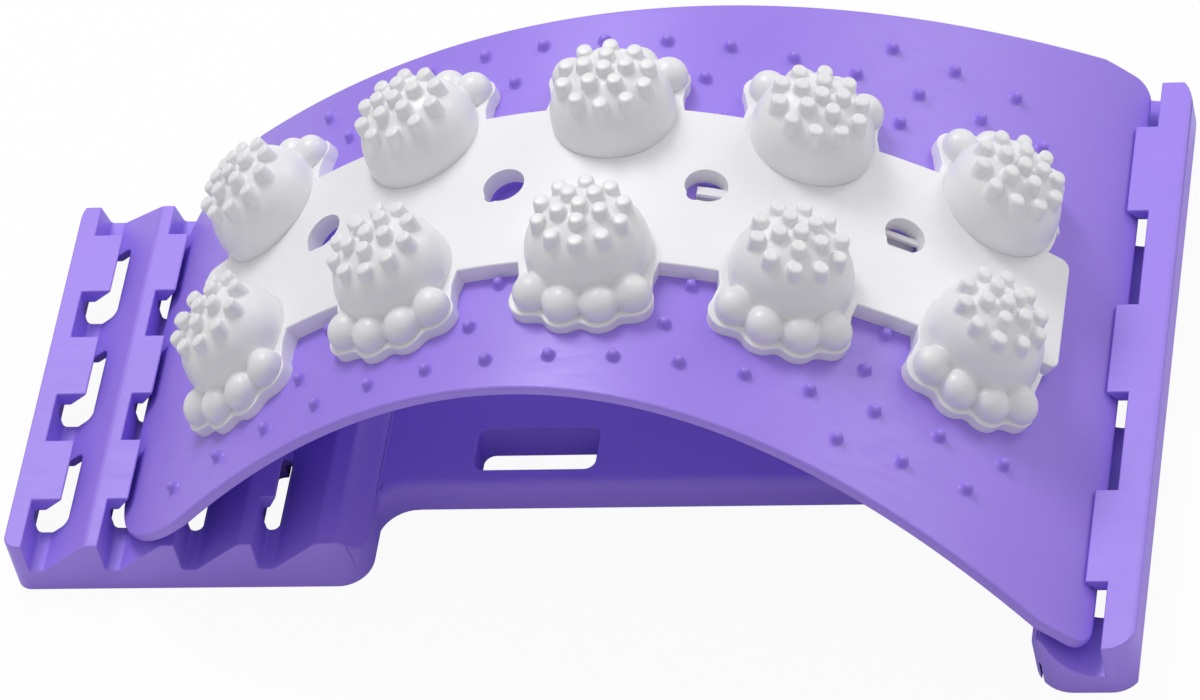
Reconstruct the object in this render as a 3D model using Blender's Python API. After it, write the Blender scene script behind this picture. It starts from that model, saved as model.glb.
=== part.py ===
# Lumbar back stretcher: a flexible arched panel hooked into a grooved base,
# with a white massage strip and ten spiked massage heads along its crown.
# The origin is the middle of the base's footprint on the floor.
# +X points to the wide fixed end, +Y across the device, +Z up. Metres.

import bmesh
import bpy
from math import atan2, ceil, cos, hypot, pi, radians, sin, sqrt
from mathutils import Matrix, Vector

MM = 0.001

# Overall size
BASE_LENGTH = 380.0 * MM
BASE_HEIGHT = 22.3 * MM
WIDE_DEPTH = 250.0 * MM
NARROW_DEPTH = 158.0 * MM
GAP = 0.3 * MM

# Base: plates and beam
HALF_LENGTH = BASE_LENGTH / 2
NARROW_PLATE_LENGTH = 121.0 * MM
WIDE_PLATE_LENGTH = 35.0 * MM
BEAM_WIDTH = 94.8 * MM
BEAM_HEIGHT = 12.0 * MM
BEAM_EDGE_RADIUS = 5.0 * MM
BEAM_SIDE_INSET = 0.6 * MM
NARROW_END_CORNER = 5.0 * MM
OUTER_CORNER = 11.0 * MM
WIDE_END_CORNER = 10.0 * MM
WIDE_BACK_CORNER = 13.0 * MM
FAR_LEAN = 7.5 * MM
INNER_CORNER = 12.0 * MM
WIDE_INNER_CORNER = 14.0 * MM
WALL = 2.4 * MM
SKIN = 3.0 * MM
BEAM_SKIN = 2.6 * MM
CREST_SKIN = 3.6 * MM
WIDE_SCOOP_SKIN = 0.6 * MM
BEAM_BAYS = 5
EDGE_DRAFT = 2.1 * MM
RIB_TOE = 0.6 * MM

# Base: groove rows on the narrow plate
ROWS = 4
NARROW_RAIL = 6.6 * MM
SHOULDER_LENGTH = 9.6 * MM
ROW_PITCH = (NARROW_PLATE_LENGTH - NARROW_RAIL - SHOULDER_LENGTH) / ROWS
GROOVE_FLOOR = 9.4 * MM
FLOOR_WIDTH = 4.8 * MM
FLOOR_CHAMFER = 1.4 * MM
CREST_WIDTH = 4.0 * MM
CREST_EASE = (1.5 * MM, 0.7 * MM)
SHOULDER_RUN_OUT = 1.5 * MM
USED_ROW = 1

# Base: the fixed groove on the wide plate
WIDE_RAIL = 10.9 * MM
WIDE_FLOOR = 8.2 * MM
WIDE_FLOOR_WIDTH = 2.0 * MM
WIDE_EDGE_EASE = 1.5 * MM
WIDE_CREST_INSET = 5.0 * MM
SCOOP_STEPS = 6

# Hooks: wedge sections, as (reach, root reach, nose thickness, root thickness)
LONG_HOOK = (10.0 * MM, 3.5 * MM, 0.9 * MM, 5.9 * MM)
MIDDLE_HOOK = (6.9 * MM, 2.5 * MM, 0.9 * MM, 5.9 * MM)
SHORT_HOOK = (4.8 * MM, 1.8 * MM, 0.9 * MM, 5.9 * MM)
NARROW_HOOKS = (LONG_HOOK, MIDDLE_HOOK, SHORT_HOOK, SHORT_HOOK)
WIDE_HOOK = (7.2 * MM, 3.9 * MM, 0.9 * MM, 4.8 * MM)
HOOK_ROOT_DEPTH = 2.2 * MM
NARROW_HOOK_LENGTH = 25.6 * MM
NARROW_HOOK_SPACING = 45.8 * MM
WIDE_HOOK_LENGTH = 37.8 * MM
WIDE_HOOK_SPACING = 78.7 * MM
# Core holes, as (back reach, front reach, near margin, far margin)
LONG_HOLE = (-5.3 * MM, 10.8 * MM, 3.2 * MM, 1.6 * MM)
MIDDLE_HOLE = (-5.6 * MM, 7.7 * MM, 1.6 * MM, 0.8 * MM)
SHORT_HOLE = (-4.8 * MM, 3.8 * MM, 3.2 * MM, 0.8 * MM)
NARROW_HOLES = (LONG_HOLE, MIDDLE_HOLE, SHORT_HOLE, SHORT_HOLE)
WIDE_HOLE = (-1.2 * MM, 9.2 * MM, 3.2 * MM, 0.8 * MM)
HOLE_BACK_CORNER = 4.5 * MM
HOLE_FRONT_CORNER = 2.5 * MM
HOLE_WALL = 1.2 * MM

# Beam slots, one each side of the centre line
SLOT_CENTRE_X = -17.5 * MM
SLOT_LENGTH = 41.0 * MM
SLOT_WIDTH = 17.9 * MM
SLOT_OFFSET = 30.6 * MM
SLOT_CORNER = 3.7 * MM
SLOT_DRAFT = 2.4 * MM

# Arched panel
PANEL_THICKNESS = 4.0 * MM
APEX_HEIGHT = 101.5 * MM
LEFT_END_HEIGHT = 13.0 * MM
RIGHT_END_HEIGHT = 16.6 * MM
LEFT_END_CLEARANCE = 2.2 * MM
RIGHT_END_CLEARANCE = 3.6 * MM
WAIST_X = -45.0 * MM
WAIST_HALF_WIDTH = 78.7 * MM
WAIST_FLARE = 1.0
PANEL_LEFT_HALF_WIDTH = 85.0 * MM
PANEL_RIGHT_HALF_WIDTH = 121.2 * MM
PANEL_LEFT_CORNER_LENGTH = 44.0 * MM
PANEL_LEFT_CORNER_WIDTH = 36.0 * MM
PANEL_LEFT_CORNER_STEPS = 6
PANEL_RIGHT_CORNER = 8.0 * MM

# Small studs moulded on the panel
STUD_RADIUS = 2.1 * MM
STUD_HEIGHT = 3.0 * MM
STUD_CLOSING = 0.2 * MM
# Stud rows, as (distance from the centre line, middle x, pitch, first, last, step)
STUD_ROWS = (
    (68.0 * MM, 8.5 * MM, 21.0 * MM, -7, 7, 1),
    (83.8 * MM, 8.5 * MM, 21.0 * MM, 4.5, 6.5, 1),
    (53.0 * MM, 11.7 * MM, 21.45 * MM, -4.5, 4.5, 3),
    (36.2 * MM, 8.5 * MM, 21.0 * MM, -4, 5, 3),
)

# Massage strip
STRIP_HALF_WIDTH = 33.0 * MM
STRIP_TOP = 6.3 * MM
STRIP_SKIN = 2.4 * MM
STRIP_WALL = 2.4 * MM
STRIP_CENTRE_X = 17.8 * MM
STRIP_LEFT_REACH = 162.0 * MM
STRIP_RIGHT_REACH = 152.5 * MM
STRIP_CORNER = 6.0 * MM
HEAD_PITCH = 64.4 * MM
HEAD_OFFSET = 30.0 * MM
WINDOW_RADIUS = 6.8 * MM
WINDOW_NOTCH_RADIUS = 2.6 * MM
WINDOW_NOTCH_PLACE = (-3.2 * MM, -4.2 * MM)
WINDOW_OFFSET = 1.6 * MM
FIRST_WINDOW_SHIFT = (-4.0 * MM, 3.3 * MM)
# Bars across the bottom of the last two windows, as (offset, width)
WINDOW_BARS = (
    (),
    (),
    ((1.7 * MM, 3.6 * MM),),
    ((3.1 * MM, 2.2 * MM), (-2.9 * MM, 2.6 * MM)),
)
BAR_THICKNESS = 1.4 * MM
BAR_REACH = 7.0 * MM
HOLLOW_REACH = 14.0 * MM
PANEL_HOLE_WIDTH = 12.0 * MM
PANEL_HOLE_LENGTHS = (0.0, 0.0, 9.6 * MM, 13.0 * MM)

# Cloud-shaped tabs of the strip, one under each head
SCALLOP_RADIUS = 7.3 * MM
SCALLOP_PLACES = ((-16.8 * MM, 17.2 * MM), (-5.7 * MM, 22.1 * MM), (5.7 * MM, 22.1 * MM), (16.8 * MM, 17.2 * MM))
TAB_NECK_REACH = 8.5 * MM
TAB_HALF_WIDTH = 21.4 * MM
TAB_ROOT_HALF_WIDTH = 22.8 * MM
TAB_REACH = 21.0 * MM
TAB_DROP = 2.1 * MM
TAB_SLOPE_START = STRIP_HALF_WIDTH + 1.5 * MM
TAB_SLOPE_END = 58.8 * MM

# Massage heads
HEADS_PER_SIDE = 5
DOME_RADIUS = 20.6 * MM
DOME_HEIGHT = 21.0 * MM
SKIRT_DEPTH = 4.0 * MM
BALL_RADIUS = 5.8 * MM
BALL_PLACES = ((-15.6 * MM, 17.2 * MM), (-5.9 * MM, 22.1 * MM), (5.9 * MM, 22.1 * MM), (15.6 * MM, 17.2 * MM))
BALL_RISE = 1.2 * MM
BALL_FOOT = 7.0 * MM
WEB_HEIGHT = 1.0 * MM
# Rings of pegs, as (radius, count)
PEG_RINGS = ((0.0, 1), (7.5 * MM, 5), (15.4 * MM, 10))
PEG_RADIUS = 2.6 * MM
PEG_TIP_RADIUS = 2.3 * MM
PEG_PROUD = 4.4 * MM
PEG_ROOT = 5.5 * MM
WEB_SHARE = 0.93
STEM_RADIUS = 3.9 * MM
STEM_ROOT = 4.0 * MM
STEM_HOLE_RADIUS = 4.9 * MM
BARB_RADIUS = 5.6 * MM
BARB_LENGTH = 2.4 * MM

# Smoothness
WELD = 0.02 * MM
ON_LEVEL = 0.01 * MM
BEND_STEP = 14.0 * MM
ARC_STEPS = 4
SMALL_ARC_STEPS = 2
HOLE_SIDES = 8
SCALLOP_SIDES = 14
DOME_SIDES = 16
DOME_RINGS = 4
BALL_SIDES = 8
BALL_LATITUDES = (-48, -8, 40)
PEG_SIDES = 6
STUD_SIDES = 4


def clear_scene():
    for item in list(bpy.data.objects):
        bpy.data.objects.remove(item, do_unlink=True)


def material(name, colour, roughness):
    made = bpy.data.materials.new(name)
    made.use_nodes = True
    shader = made.node_tree.nodes["Principled BSDF"]
    shader.inputs["Base Color"].default_value = (*colour, 1.0)
    shader.inputs["Roughness"].default_value = roughness
    shader.inputs["Metallic"].default_value = 0.0
    made.diffuse_color = (*colour, 1.0)
    return made


def object_from(name, shape):
    mesh = bpy.data.meshes.new(name)
    bmesh.ops.recalc_face_normals(shape, faces=shape.faces)
    shape.to_mesh(mesh)
    shape.free()
    made = bpy.data.objects.new(name, mesh)
    bpy.context.scene.collection.objects.link(made)
    return made


def prism(name, outline, low, high, axis="Z"):
    """A straight prism along an axis, from an outline drawn across that axis."""
    shape = bmesh.new()
    ends = []
    for level in (low, high):
        if axis == "Z":
            ends.append([shape.verts.new((a, b, level)) for a, b in outline])
        elif axis == "Y":
            ends.append([shape.verts.new((a, level, b)) for a, b in outline])
        else:
            ends.append([shape.verts.new((level, a, b)) for a, b in outline])
    count = len(outline)
    for i in range(count):
        j = (i + 1) % count
        shape.faces.new((ends[0][i], ends[0][j], ends[1][j], ends[1][i]))
    shape.faces.new(ends[0])
    shape.faces.new(ends[1])
    return object_from(name, shape)


def stacked(name, rings):
    """A closed solid through matching rings of points, flat at both ends."""
    shape = bmesh.new()
    levels = [[shape.verts.new(point) for point in ring] for ring in rings]
    count = len(rings[0])
    for lower, upper in zip(levels, levels[1:]):
        for i in range(count):
            j = (i + 1) % count
            shape.faces.new((lower[i], lower[j], upper[j], upper[i]))
    shape.faces.new(levels[0])
    shape.faces.new(levels[-1])
    return object_from(name, shape)


def boolean(target, tool, operation):
    step = target.modifiers.new("step", "BOOLEAN")
    step.operation = operation
    step.solver = "EXACT"
    step.object = tool
    graph = bpy.context.evaluated_depsgraph_get()
    result = bpy.data.meshes.new_from_object(target.evaluated_get(graph))
    target.modifiers.clear()
    old = target.data
    target.data = result
    bpy.data.meshes.remove(old)
    bpy.data.objects.remove(tool, do_unlink=True)


def joined(name, parts):
    """Several separate closed shapes as one cutter."""
    shape = bmesh.new()
    for part in parts:
        shape.from_mesh(part.data)
        bpy.data.objects.remove(part, do_unlink=True)
    return object_from(name, shape)


def tidy(target):
    """Welds stray points and merges faces that lie in one plane."""
    shape = bmesh.new()
    shape.from_mesh(target.data)
    bmesh.ops.remove_doubles(shape, verts=shape.verts, dist=WELD)
    bmesh.ops.dissolve_degenerate(shape, edges=shape.edges, dist=WELD)
    bmesh.ops.dissolve_limit(shape, angle_limit=radians(0.5), verts=shape.verts, edges=shape.edges)
    bmesh.ops.recalc_face_normals(shape, faces=shape.faces)
    shape.to_mesh(target.data)
    shape.free()


def finish(target, name, paint, smooth_angle=32.0):
    target.name = name
    target.data.name = name
    target.data.materials.clear()
    target.data.materials.append(paint)
    target.data.shade_smooth()
    target.data.set_sharp_from_angle(angle=radians(smooth_angle))
    return target


def rounded(corners, steps=ARC_STEPS):
    """A closed outline from (x, y, radius) corners, each turned with an arc."""
    points = []
    count = len(corners)
    for i in range(count):
        x, y, radius = corners[i]
        before = Vector(corners[i - 1][:2]) - Vector((x, y))
        after = Vector(corners[(i + 1) % count][:2]) - Vector((x, y))
        before.normalize()
        after.normalize()
        if radius <= 0:
            points.append((x, y))
            continue
        half = before.angle(after) / 2
        reach = radius / sin(half) * cos(half)
        centre = Vector((x, y)) + (before + after).normalized() * (radius / sin(half))
        start = Vector((x, y)) + before * reach - centre
        end = Vector((x, y)) + after * reach - centre
        first = atan2(start.y, start.x)
        turn = (atan2(end.y, end.x) - first + pi) % (2 * pi) - pi
        for k in range(steps + 1):
            angle = first + turn * k / steps
            points.append((centre.x + radius * cos(angle), centre.y + radius * sin(angle)))
    return points


def rectangle(x0, x1, y0, y1, radius=0.0, steps=ARC_STEPS):
    return rounded([(x0, y0, radius), (x1, y0, radius), (x1, y1, radius), (x0, y1, radius)], steps)


def circle(x, y, radius, sides=HOLE_SIDES):
    return [(x + radius * cos(2 * pi * k / sides), y + radius * sin(2 * pi * k / sides)) for k in range(sides)]


# The arch of the panel

NARROW_WALLS = [-HALF_LENGTH + NARROW_RAIL + ROW_PITCH * k for k in range(ROWS)]
WIDE_WALL = HALF_LENGTH - WIDE_RAIL
ARCH_LEFT = NARROW_WALLS[USED_ROW] + LEFT_END_CLEARANCE
ARCH_RIGHT = WIDE_WALL - RIGHT_END_CLEARANCE
ARCH_MIDDLE = (ARCH_LEFT + ARCH_RIGHT) / 2
ARCH_HALF_SPAN = (ARCH_RIGHT - ARCH_LEFT) / 2
ARCH_END = (LEFT_END_HEIGHT + RIGHT_END_HEIGHT) / 2
ARCH_TILT = (RIGHT_END_HEIGHT - LEFT_END_HEIGHT) / 2
ARCH_RISE = APEX_HEIGHT - ARCH_END


def arch_height(x):
    """Height of the panel's upper face: a parabola, as a flexed sheet takes."""
    u = (x - ARCH_MIDDLE) / ARCH_HALF_SPAN
    return ARCH_END + ARCH_TILT * u + ARCH_RISE * (1 - u * u)


def arch_slope(x):
    u = (x - ARCH_MIDDLE) / ARCH_HALF_SPAN
    return (ARCH_TILT - 2 * ARCH_RISE * u) / ARCH_HALF_SPAN


def arch_table():
    """Arc length against x, measured from the middle of the massage strip."""
    steps = 1500
    table = []
    total = 0.0
    width = (ARCH_RIGHT - ARCH_LEFT) / steps
    for k in range(steps + 1):
        x = ARCH_LEFT + width * k
        table.append((total, x))
        total += hypot(1.0, arch_slope(x + width / 2)) * width
    zero = min(table, key=lambda row: abs(row[1] - STRIP_CENTRE_X))[0]
    return [(s - zero, x) for s, x in table]


ARCH_TABLE = arch_table()
ARC_LEFT = ARCH_TABLE[0][0]
ARC_RIGHT = ARCH_TABLE[-1][0]


def between(value, column):
    """The other column's value at a place in the arch table, between its steps."""
    low = 0
    high = len(ARCH_TABLE) - 1
    while high - low > 1:
        middle = (low + high) // 2
        if ARCH_TABLE[middle][column] <= value:
            low = middle
        else:
            high = middle
    share = (value - ARCH_TABLE[low][column]) / (ARCH_TABLE[high][column] - ARCH_TABLE[low][column])
    other = 1 - column
    return ARCH_TABLE[low][other] + (ARCH_TABLE[high][other] - ARCH_TABLE[low][other]) * share


def x_at(arc):
    """Place along X of an arc length; past either end the arch runs on straight."""
    return between(arc, 0)


def arc_at(x):
    return between(x, 1)


def arch_frame(arc, across, lift):
    """Matrix at a place on the arch: local X along it, local Z out of it."""
    x = x_at(arc)
    slope = arch_slope(x)
    size = hypot(1.0, slope)
    along = Vector((1 / size, 0.0, slope / size))
    out = Vector((-slope / size, 0.0, 1 / size))
    place = Vector((x, across, arch_height(x))) + out * lift
    sideways = Vector((0.0, 1.0, 0.0))
    frame = Matrix((along, sideways, out)).transposed().to_4x4()
    frame.translation = place
    return frame


def bend(target):
    """Wraps a shape drawn flat, as (arc, across, lift), over the arch."""
    shape = bmesh.new()
    shape.from_mesh(target.data)
    bmesh.ops.triangulate(shape, faces=shape.faces)
    low = min(v.co.x for v in shape.verts)
    high = max(v.co.x for v in shape.verts)
    for edge in shape.edges:
        edge.seam = False
    for k in range(ceil(low / BEND_STEP), ceil(high / BEND_STEP)):
        everything = list(shape.verts) + list(shape.edges) + list(shape.faces)
        place = (k * BEND_STEP, 0, 0)
        cut = bmesh.ops.bisect_plane(shape, geom=everything, dist=WELD, plane_co=place, plane_no=(1, 0, 0))
        for item in cut["geom_cut"]:
            if isinstance(item, bmesh.types.BMEdge):
                item.seam = True
    flat = radians(0.2)
    bmesh.ops.dissolve_limit(shape, angle_limit=flat, verts=shape.verts, edges=shape.edges, delimit={"SEAM"})
    bmesh.ops.triangulate(shape, faces=shape.faces)
    for edge in shape.edges:
        edge.seam = False
    for vert in shape.verts:
        arc, across, lift = vert.co
        vert.co = arch_frame(arc, across, lift).translation
    shape.to_mesh(target.data)
    shape.free()


def panel_half_width(x):
    """Half width of the panel: a shallow waist that flares toward the wide end."""
    limit = PANEL_RIGHT_HALF_WIDTH if x > WAIST_X else PANEL_LEFT_HALF_WIDTH
    return min(WAIST_HALF_WIDTH + WAIST_FLARE * (x - WAIST_X) ** 2, limit)


def panel_outline():
    """The panel laid flat, with rounded corners at both ends."""
    edge = []
    # The corners of the free end are quarters of an ellipse
    for k in range(PANEL_LEFT_CORNER_STEPS + 1):
        turn = pi / 2 * k / PANEL_LEFT_CORNER_STEPS
        inset = PANEL_LEFT_CORNER_WIDTH * (1 - sin(turn))
        arc = ARC_LEFT + PANEL_LEFT_CORNER_LENGTH * (1 - cos(turn))
        edge.append((arc, panel_half_width(x_at(arc)) - inset))
    start = ARC_LEFT + PANEL_LEFT_CORNER_LENGTH
    finish_arc = ARC_RIGHT - PANEL_RIGHT_CORNER
    count = ceil((finish_arc - start) / (2 * BEND_STEP))
    for k in range(1, count + 1):
        arc = start + (finish_arc - start) * k / count
        edge.append((arc, panel_half_width(x_at(arc))))
    for k in range(1, ARC_STEPS + 1):
        turn = pi / 2 * k / ARC_STEPS
        inset = PANEL_RIGHT_CORNER * (1 - cos(turn))
        arc = finish_arc + PANEL_RIGHT_CORNER * sin(turn)
        edge.append((arc, panel_half_width(x_at(arc)) - inset))
    return edge + [(arc, -half) for arc, half in reversed(edge)]


# Base

def far_corner_growth(x, y):
    """The leaning far faces turn wider corners at the two ends of the base."""
    at_end = abs(x) > HALF_LENGTH - WALL and abs(y) > BEAM_WIDTH / 2
    return FAR_LEAN if at_end else 0.0


def base_outline(inset):
    """Narrow plate, beam and wide plate in one outline, drawn in by an inset."""
    narrow_in = -HALF_LENGTH + NARROW_PLATE_LENGTH - inset
    wide_in = HALF_LENGTH - WIDE_PLATE_LENGTH + inset
    left = -HALF_LENGTH + inset
    right = HALF_LENGTH - inset
    narrow = NARROW_DEPTH / 2 - inset
    wide = WIDE_DEPTH / 2 - inset
    beam = BEAM_WIDTH / 2 - inset
    corners = [
        (left, -narrow, max(NARROW_END_CORNER - inset, MM)),
        (narrow_in, -narrow, OUTER_CORNER - inset),
        (narrow_in, -beam, INNER_CORNER + inset),
        (wide_in, -beam, WIDE_INNER_CORNER + inset),
        (wide_in, -wide, WIDE_BACK_CORNER - inset),
        (right, -wide, WIDE_END_CORNER - inset),
    ]
    corners += [(x, -y, radius + far_corner_growth(x, y)) for x, y, radius in reversed(corners)]
    return rounded(corners)


def ramp(wall):
    """Groove floor and rising ramp to the right of a groove wall, as (x, z)."""
    return [
        (wall, BASE_HEIGHT),
        (wall, GROOVE_FLOOR + FLOOR_CHAMFER),
        (wall + FLOOR_CHAMFER, GROOVE_FLOOR),
        (wall + FLOOR_WIDTH, GROOVE_FLOOR),
        (wall + ROW_PITCH - CREST_WIDTH - CREST_EASE[0], BASE_HEIGHT - CREST_EASE[1]),
        (wall + ROW_PITCH - CREST_WIDTH, BASE_HEIGHT),
    ]


def shoulder(x0, z0, x1, z1, steps=6):
    """A soft S-shaped slope between two levels."""
    points = []
    for k in range(steps + 1):
        t = k / steps
        ease = (1 - cos(pi * t)) / 2
        points.append((x0 + (x1 - x0) * t, z0 + (z1 - z0) * ease))
    return points


def wide_scoop():
    """Concave run-in of the fixed groove, from its crest down to the floor."""
    crest = HALF_LENGTH - WIDE_PLATE_LENGTH + WIDE_CREST_INSET
    points = []
    for k in range(SCOOP_STEPS + 1):
        t = k / SCOOP_STEPS
        x = crest + (WIDE_WALL - WIDE_FLOOR_WIDTH - crest) * t
        points.append((x, WIDE_FLOOR + (BASE_HEIGHT - WIDE_FLOOR) * (1 - t) ** 2))
    return points


def hook(wall, direction, section, y0, y1):
    reach, root_reach, nose, root = section
    buried = -HOOK_ROOT_DEPTH
    outline = [
        (wall + direction * buried, BASE_HEIGHT),
        (wall + direction * reach, BASE_HEIGHT),
        (wall + direction * reach, BASE_HEIGHT - nose),
        (wall + direction * root_reach, BASE_HEIGHT - root),
        (wall + direction * buried, BASE_HEIGHT - root),
    ]
    return prism("hook", outline, y0, y1, axis="Y")


def hook_spans(length, spacing):
    return [(centre - length / 2, centre + length / 2) for centre in (-spacing, 0.0, spacing)]


def core_hole(wall, direction, hole, section, span):
    """Hole under a hook, left by the moulding core that forms its underside."""
    back = wall + direction * hole[0]
    front = wall + direction * hole[1]
    low = span[0] - hole[2]
    high = span[1] + hole[3]
    corners = [
        (back, low, HOLE_BACK_CORNER),
        (front, low, HOLE_FRONT_CORNER),
        (front, high, HOLE_FRONT_CORNER),
        (back, high, HOLE_BACK_CORNER),
    ]
    return prism("hole", rounded(corners, SMALL_ARC_STEPS), -5 * MM, BASE_HEIGHT - section[3])


def beam_slot(x0, x1, side):
    """Slot through the beam, its wall toward the centre line leaning in."""
    rings = []
    for level, draft in ((-5 * MM, SLOT_DRAFT), (0.0, SLOT_DRAFT), (BEAM_HEIGHT, 0.0), (2 * BASE_HEIGHT, 0.0)):
        inner = side * (SLOT_OFFSET - SLOT_WIDTH / 2 + draft)
        outer = side * (SLOT_OFFSET + SLOT_WIDTH / 2)
        rings.append([(x, y, level) for x, y in rectangle(x0, x1, inner, outer, SLOT_CORNER, SMALL_ARC_STEPS)])
    return stacked("slot", rings)


def pocket_bays(half_depth, side_wall, ribs):
    """Y spans of the hollows between the side walls and the ribs."""
    edges = [-half_depth + side_wall]
    for rib in ribs:
        edges += [rib - WALL / 2, rib + WALL / 2]
    edges.append(half_depth - FAR_LEAN - side_wall)
    return list(zip(edges[0::2], edges[1::2]))


def lean_cut(x0, x1, half_depth):
    """Wedge that leans the far end face of a plate inward toward the top."""
    lean_per_height = FAR_LEAN / BASE_HEIGHT
    section = [
        (half_depth + lean_per_height * MM, -MM),
        (half_depth - FAR_LEAN, BASE_HEIGHT),
        (half_depth - FAR_LEAN, 2 * BASE_HEIGHT),
        (half_depth + FAR_LEAN, 2 * BASE_HEIGHT),
        (half_depth + FAR_LEAN, -MM),
    ]
    return prism("lean", section, x0, x1, axis="X")


def build_base(paint):
    far_out = NARROW_DEPTH + WIDE_DEPTH
    wide_start = HALF_LENGTH - WIDE_PLATE_LENGTH
    # Beam with the fillets that run into both plates, its top edge rounded over
    rings = []
    side_inset = BEAM_SIDE_INSET
    low_edge = BEAM_HEIGHT - BEAM_EDGE_RADIUS
    rings.append([(x, y, 0.0) for x, y in base_outline(side_inset)])
    for k in range(ARC_STEPS):
        turn = pi / 2 * k / (ARC_STEPS - 1)
        inset = side_inset + BEAM_EDGE_RADIUS * (1 - cos(turn))
        level = low_edge + BEAM_EDGE_RADIUS * sin(turn)
        rings.append([(x, y, level) for x, y in base_outline(inset)])
    base = stacked("base", rings)
    middle = rectangle(-HALF_LENGTH + NARROW_PLATE_LENGTH - OUTER_CORNER, wide_start + SKIN, -far_out, far_out)
    boolean(base, prism("middle", middle, -MM, BASE_HEIGHT), "INTERSECT")

    # Narrow plate: its outline cut to the sawtooth section
    narrow_in = -HALF_LENGTH + NARROW_PLATE_LENGTH
    narrow = NARROW_DEPTH / 2
    corners = [(-HALF_LENGTH, -narrow, NARROW_END_CORNER), (narrow_in, -narrow, OUTER_CORNER)]
    corners += [(x, -y, radius + far_corner_growth(x, y)) for x, y, radius in reversed(corners)]
    plate = prism("plate", rounded(corners), 0.0, 2 * BASE_HEIGHT)
    section = [(-HALF_LENGTH - MM, -MM), (-HALF_LENGTH - MM, BASE_HEIGHT)]
    for wall in NARROW_WALLS:
        section += ramp(wall)
    shoulder_start = NARROW_WALLS[-1] + ROW_PITCH + MM
    section += shoulder(shoulder_start, BASE_HEIGHT, narrow_in + SHOULDER_RUN_OUT, BEAM_HEIGHT)
    section += [(narrow_in + SHOULDER_RUN_OUT, -MM)]
    boolean(plate, prism("section", section, -far_out, far_out, axis="Y"), "INTERSECT")
    boolean(base, plate, "UNION")

    # Wide plate with its one fixed groove and a slightly tucked-in outer side
    wide_in = HALF_LENGTH - WIDE_PLATE_LENGTH
    wide = WIDE_DEPTH / 2
    corners = [(wide_in, -wide, WIDE_BACK_CORNER), (HALF_LENGTH, -wide, WIDE_END_CORNER)]
    corners += [(x, -y, radius + far_corner_growth(x, y)) for x, y, radius in reversed(corners)]
    plate = prism("plate", rounded(corners), 0.0, 2 * BASE_HEIGHT)
    section = [(wide_in - MM, -MM)]
    crest_start = wide_in + WIDE_CREST_INSET - MM
    section += shoulder(wide_in - SHOULDER_RUN_OUT, BEAM_HEIGHT - SHOULDER_RUN_OUT, crest_start, BASE_HEIGHT, steps=5)
    section += wide_scoop()
    section += [
        (WIDE_WALL, WIDE_FLOOR),
        (WIDE_WALL, BASE_HEIGHT),
        (HALF_LENGTH - WIDE_EDGE_EASE, BASE_HEIGHT),
        (HALF_LENGTH - 0.27 * WIDE_EDGE_EASE, BASE_HEIGHT - 0.33 * WIDE_EDGE_EASE),
        (HALF_LENGTH, BASE_HEIGHT - WIDE_EDGE_EASE),
        (HALF_LENGTH, BASE_HEIGHT / 2),
        (HALF_LENGTH - EDGE_DRAFT, -MM),
    ]
    boolean(plate, prism("section", section, -far_out, far_out, axis="Y"), "INTERSECT")
    boolean(base, plate, "UNION")

    # Hooks over every groove
    narrow_spans = hook_spans(NARROW_HOOK_LENGTH, NARROW_HOOK_SPACING)
    wide_spans = hook_spans(WIDE_HOOK_LENGTH, WIDE_HOOK_SPACING)
    hooks = []
    for wall, section in zip(NARROW_WALLS, NARROW_HOOKS):
        hooks += [hook(wall, 1, section, y0, y1) for y0, y1 in narrow_spans]
    hooks += [hook(WIDE_WALL, -1, WIDE_HOOK, y0, y1) for y0, y1 in wide_spans]
    boolean(base, joined("hooks", hooks), "UNION")

    # The far end faces lean inward
    leans = [lean_cut(-HALF_LENGTH - MM, narrow_in + MM, narrow), lean_cut(wide_in - MM, HALF_LENGTH + MM, wide)]
    boolean(base, joined("leans", leans), "DIFFERENCE")

    # Core holes under the hooks and slots through the beam
    cuts = []
    for wall, hole, section in zip(NARROW_WALLS, NARROW_HOLES, NARROW_HOOKS):
        cuts += [core_hole(wall, 1, hole, section, span) for span in narrow_spans]
    cuts += [core_hole(WIDE_WALL, -1, WIDE_HOLE, WIDE_HOOK, span) for span in wide_spans]
    slot_x = (SLOT_CENTRE_X - SLOT_LENGTH / 2, SLOT_CENTRE_X + SLOT_LENGTH / 2)
    cuts += [beam_slot(*slot_x, side) for side in (-1, 1)]
    boolean(base, joined("cuts", cuts), "DIFFERENCE")

    # Hollows under the narrow plate, one row at a time between the ribs
    cuts = []
    under = -5 * MM
    for k, wall in enumerate(NARROW_WALLS):
        start = wall + RIB_TOE
        foot = wall + FLOOR_WIDTH + MM
        crest = wall + ROW_PITCH - CREST_WIDTH
        low = GROOVE_FLOOR - SKIN
        rise = BASE_HEIGHT - CREST_SKIN - low
        if k == ROWS - 1:
            stop = narrow_in - OUTER_CORNER + MM
            top = [(crest, low + rise), (stop, low + rise)]
        else:
            stop = wall + ROW_PITCH + NARROW_HOLES[k + 1][0] - HOLE_WALL
            top = [(stop, low + rise * min((stop - foot) / (crest - foot), 1.0))]
        outline = [(start, under), (start, low), (foot, low)] + top + [(stop, under)]
        for y0, y1 in pocket_bays(narrow, WALL, [-NARROW_HOOK_SPACING / 2, NARROW_HOOK_SPACING / 2]):
            cuts.append(prism("pocket", outline, y0, y1, axis="Y"))

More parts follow.
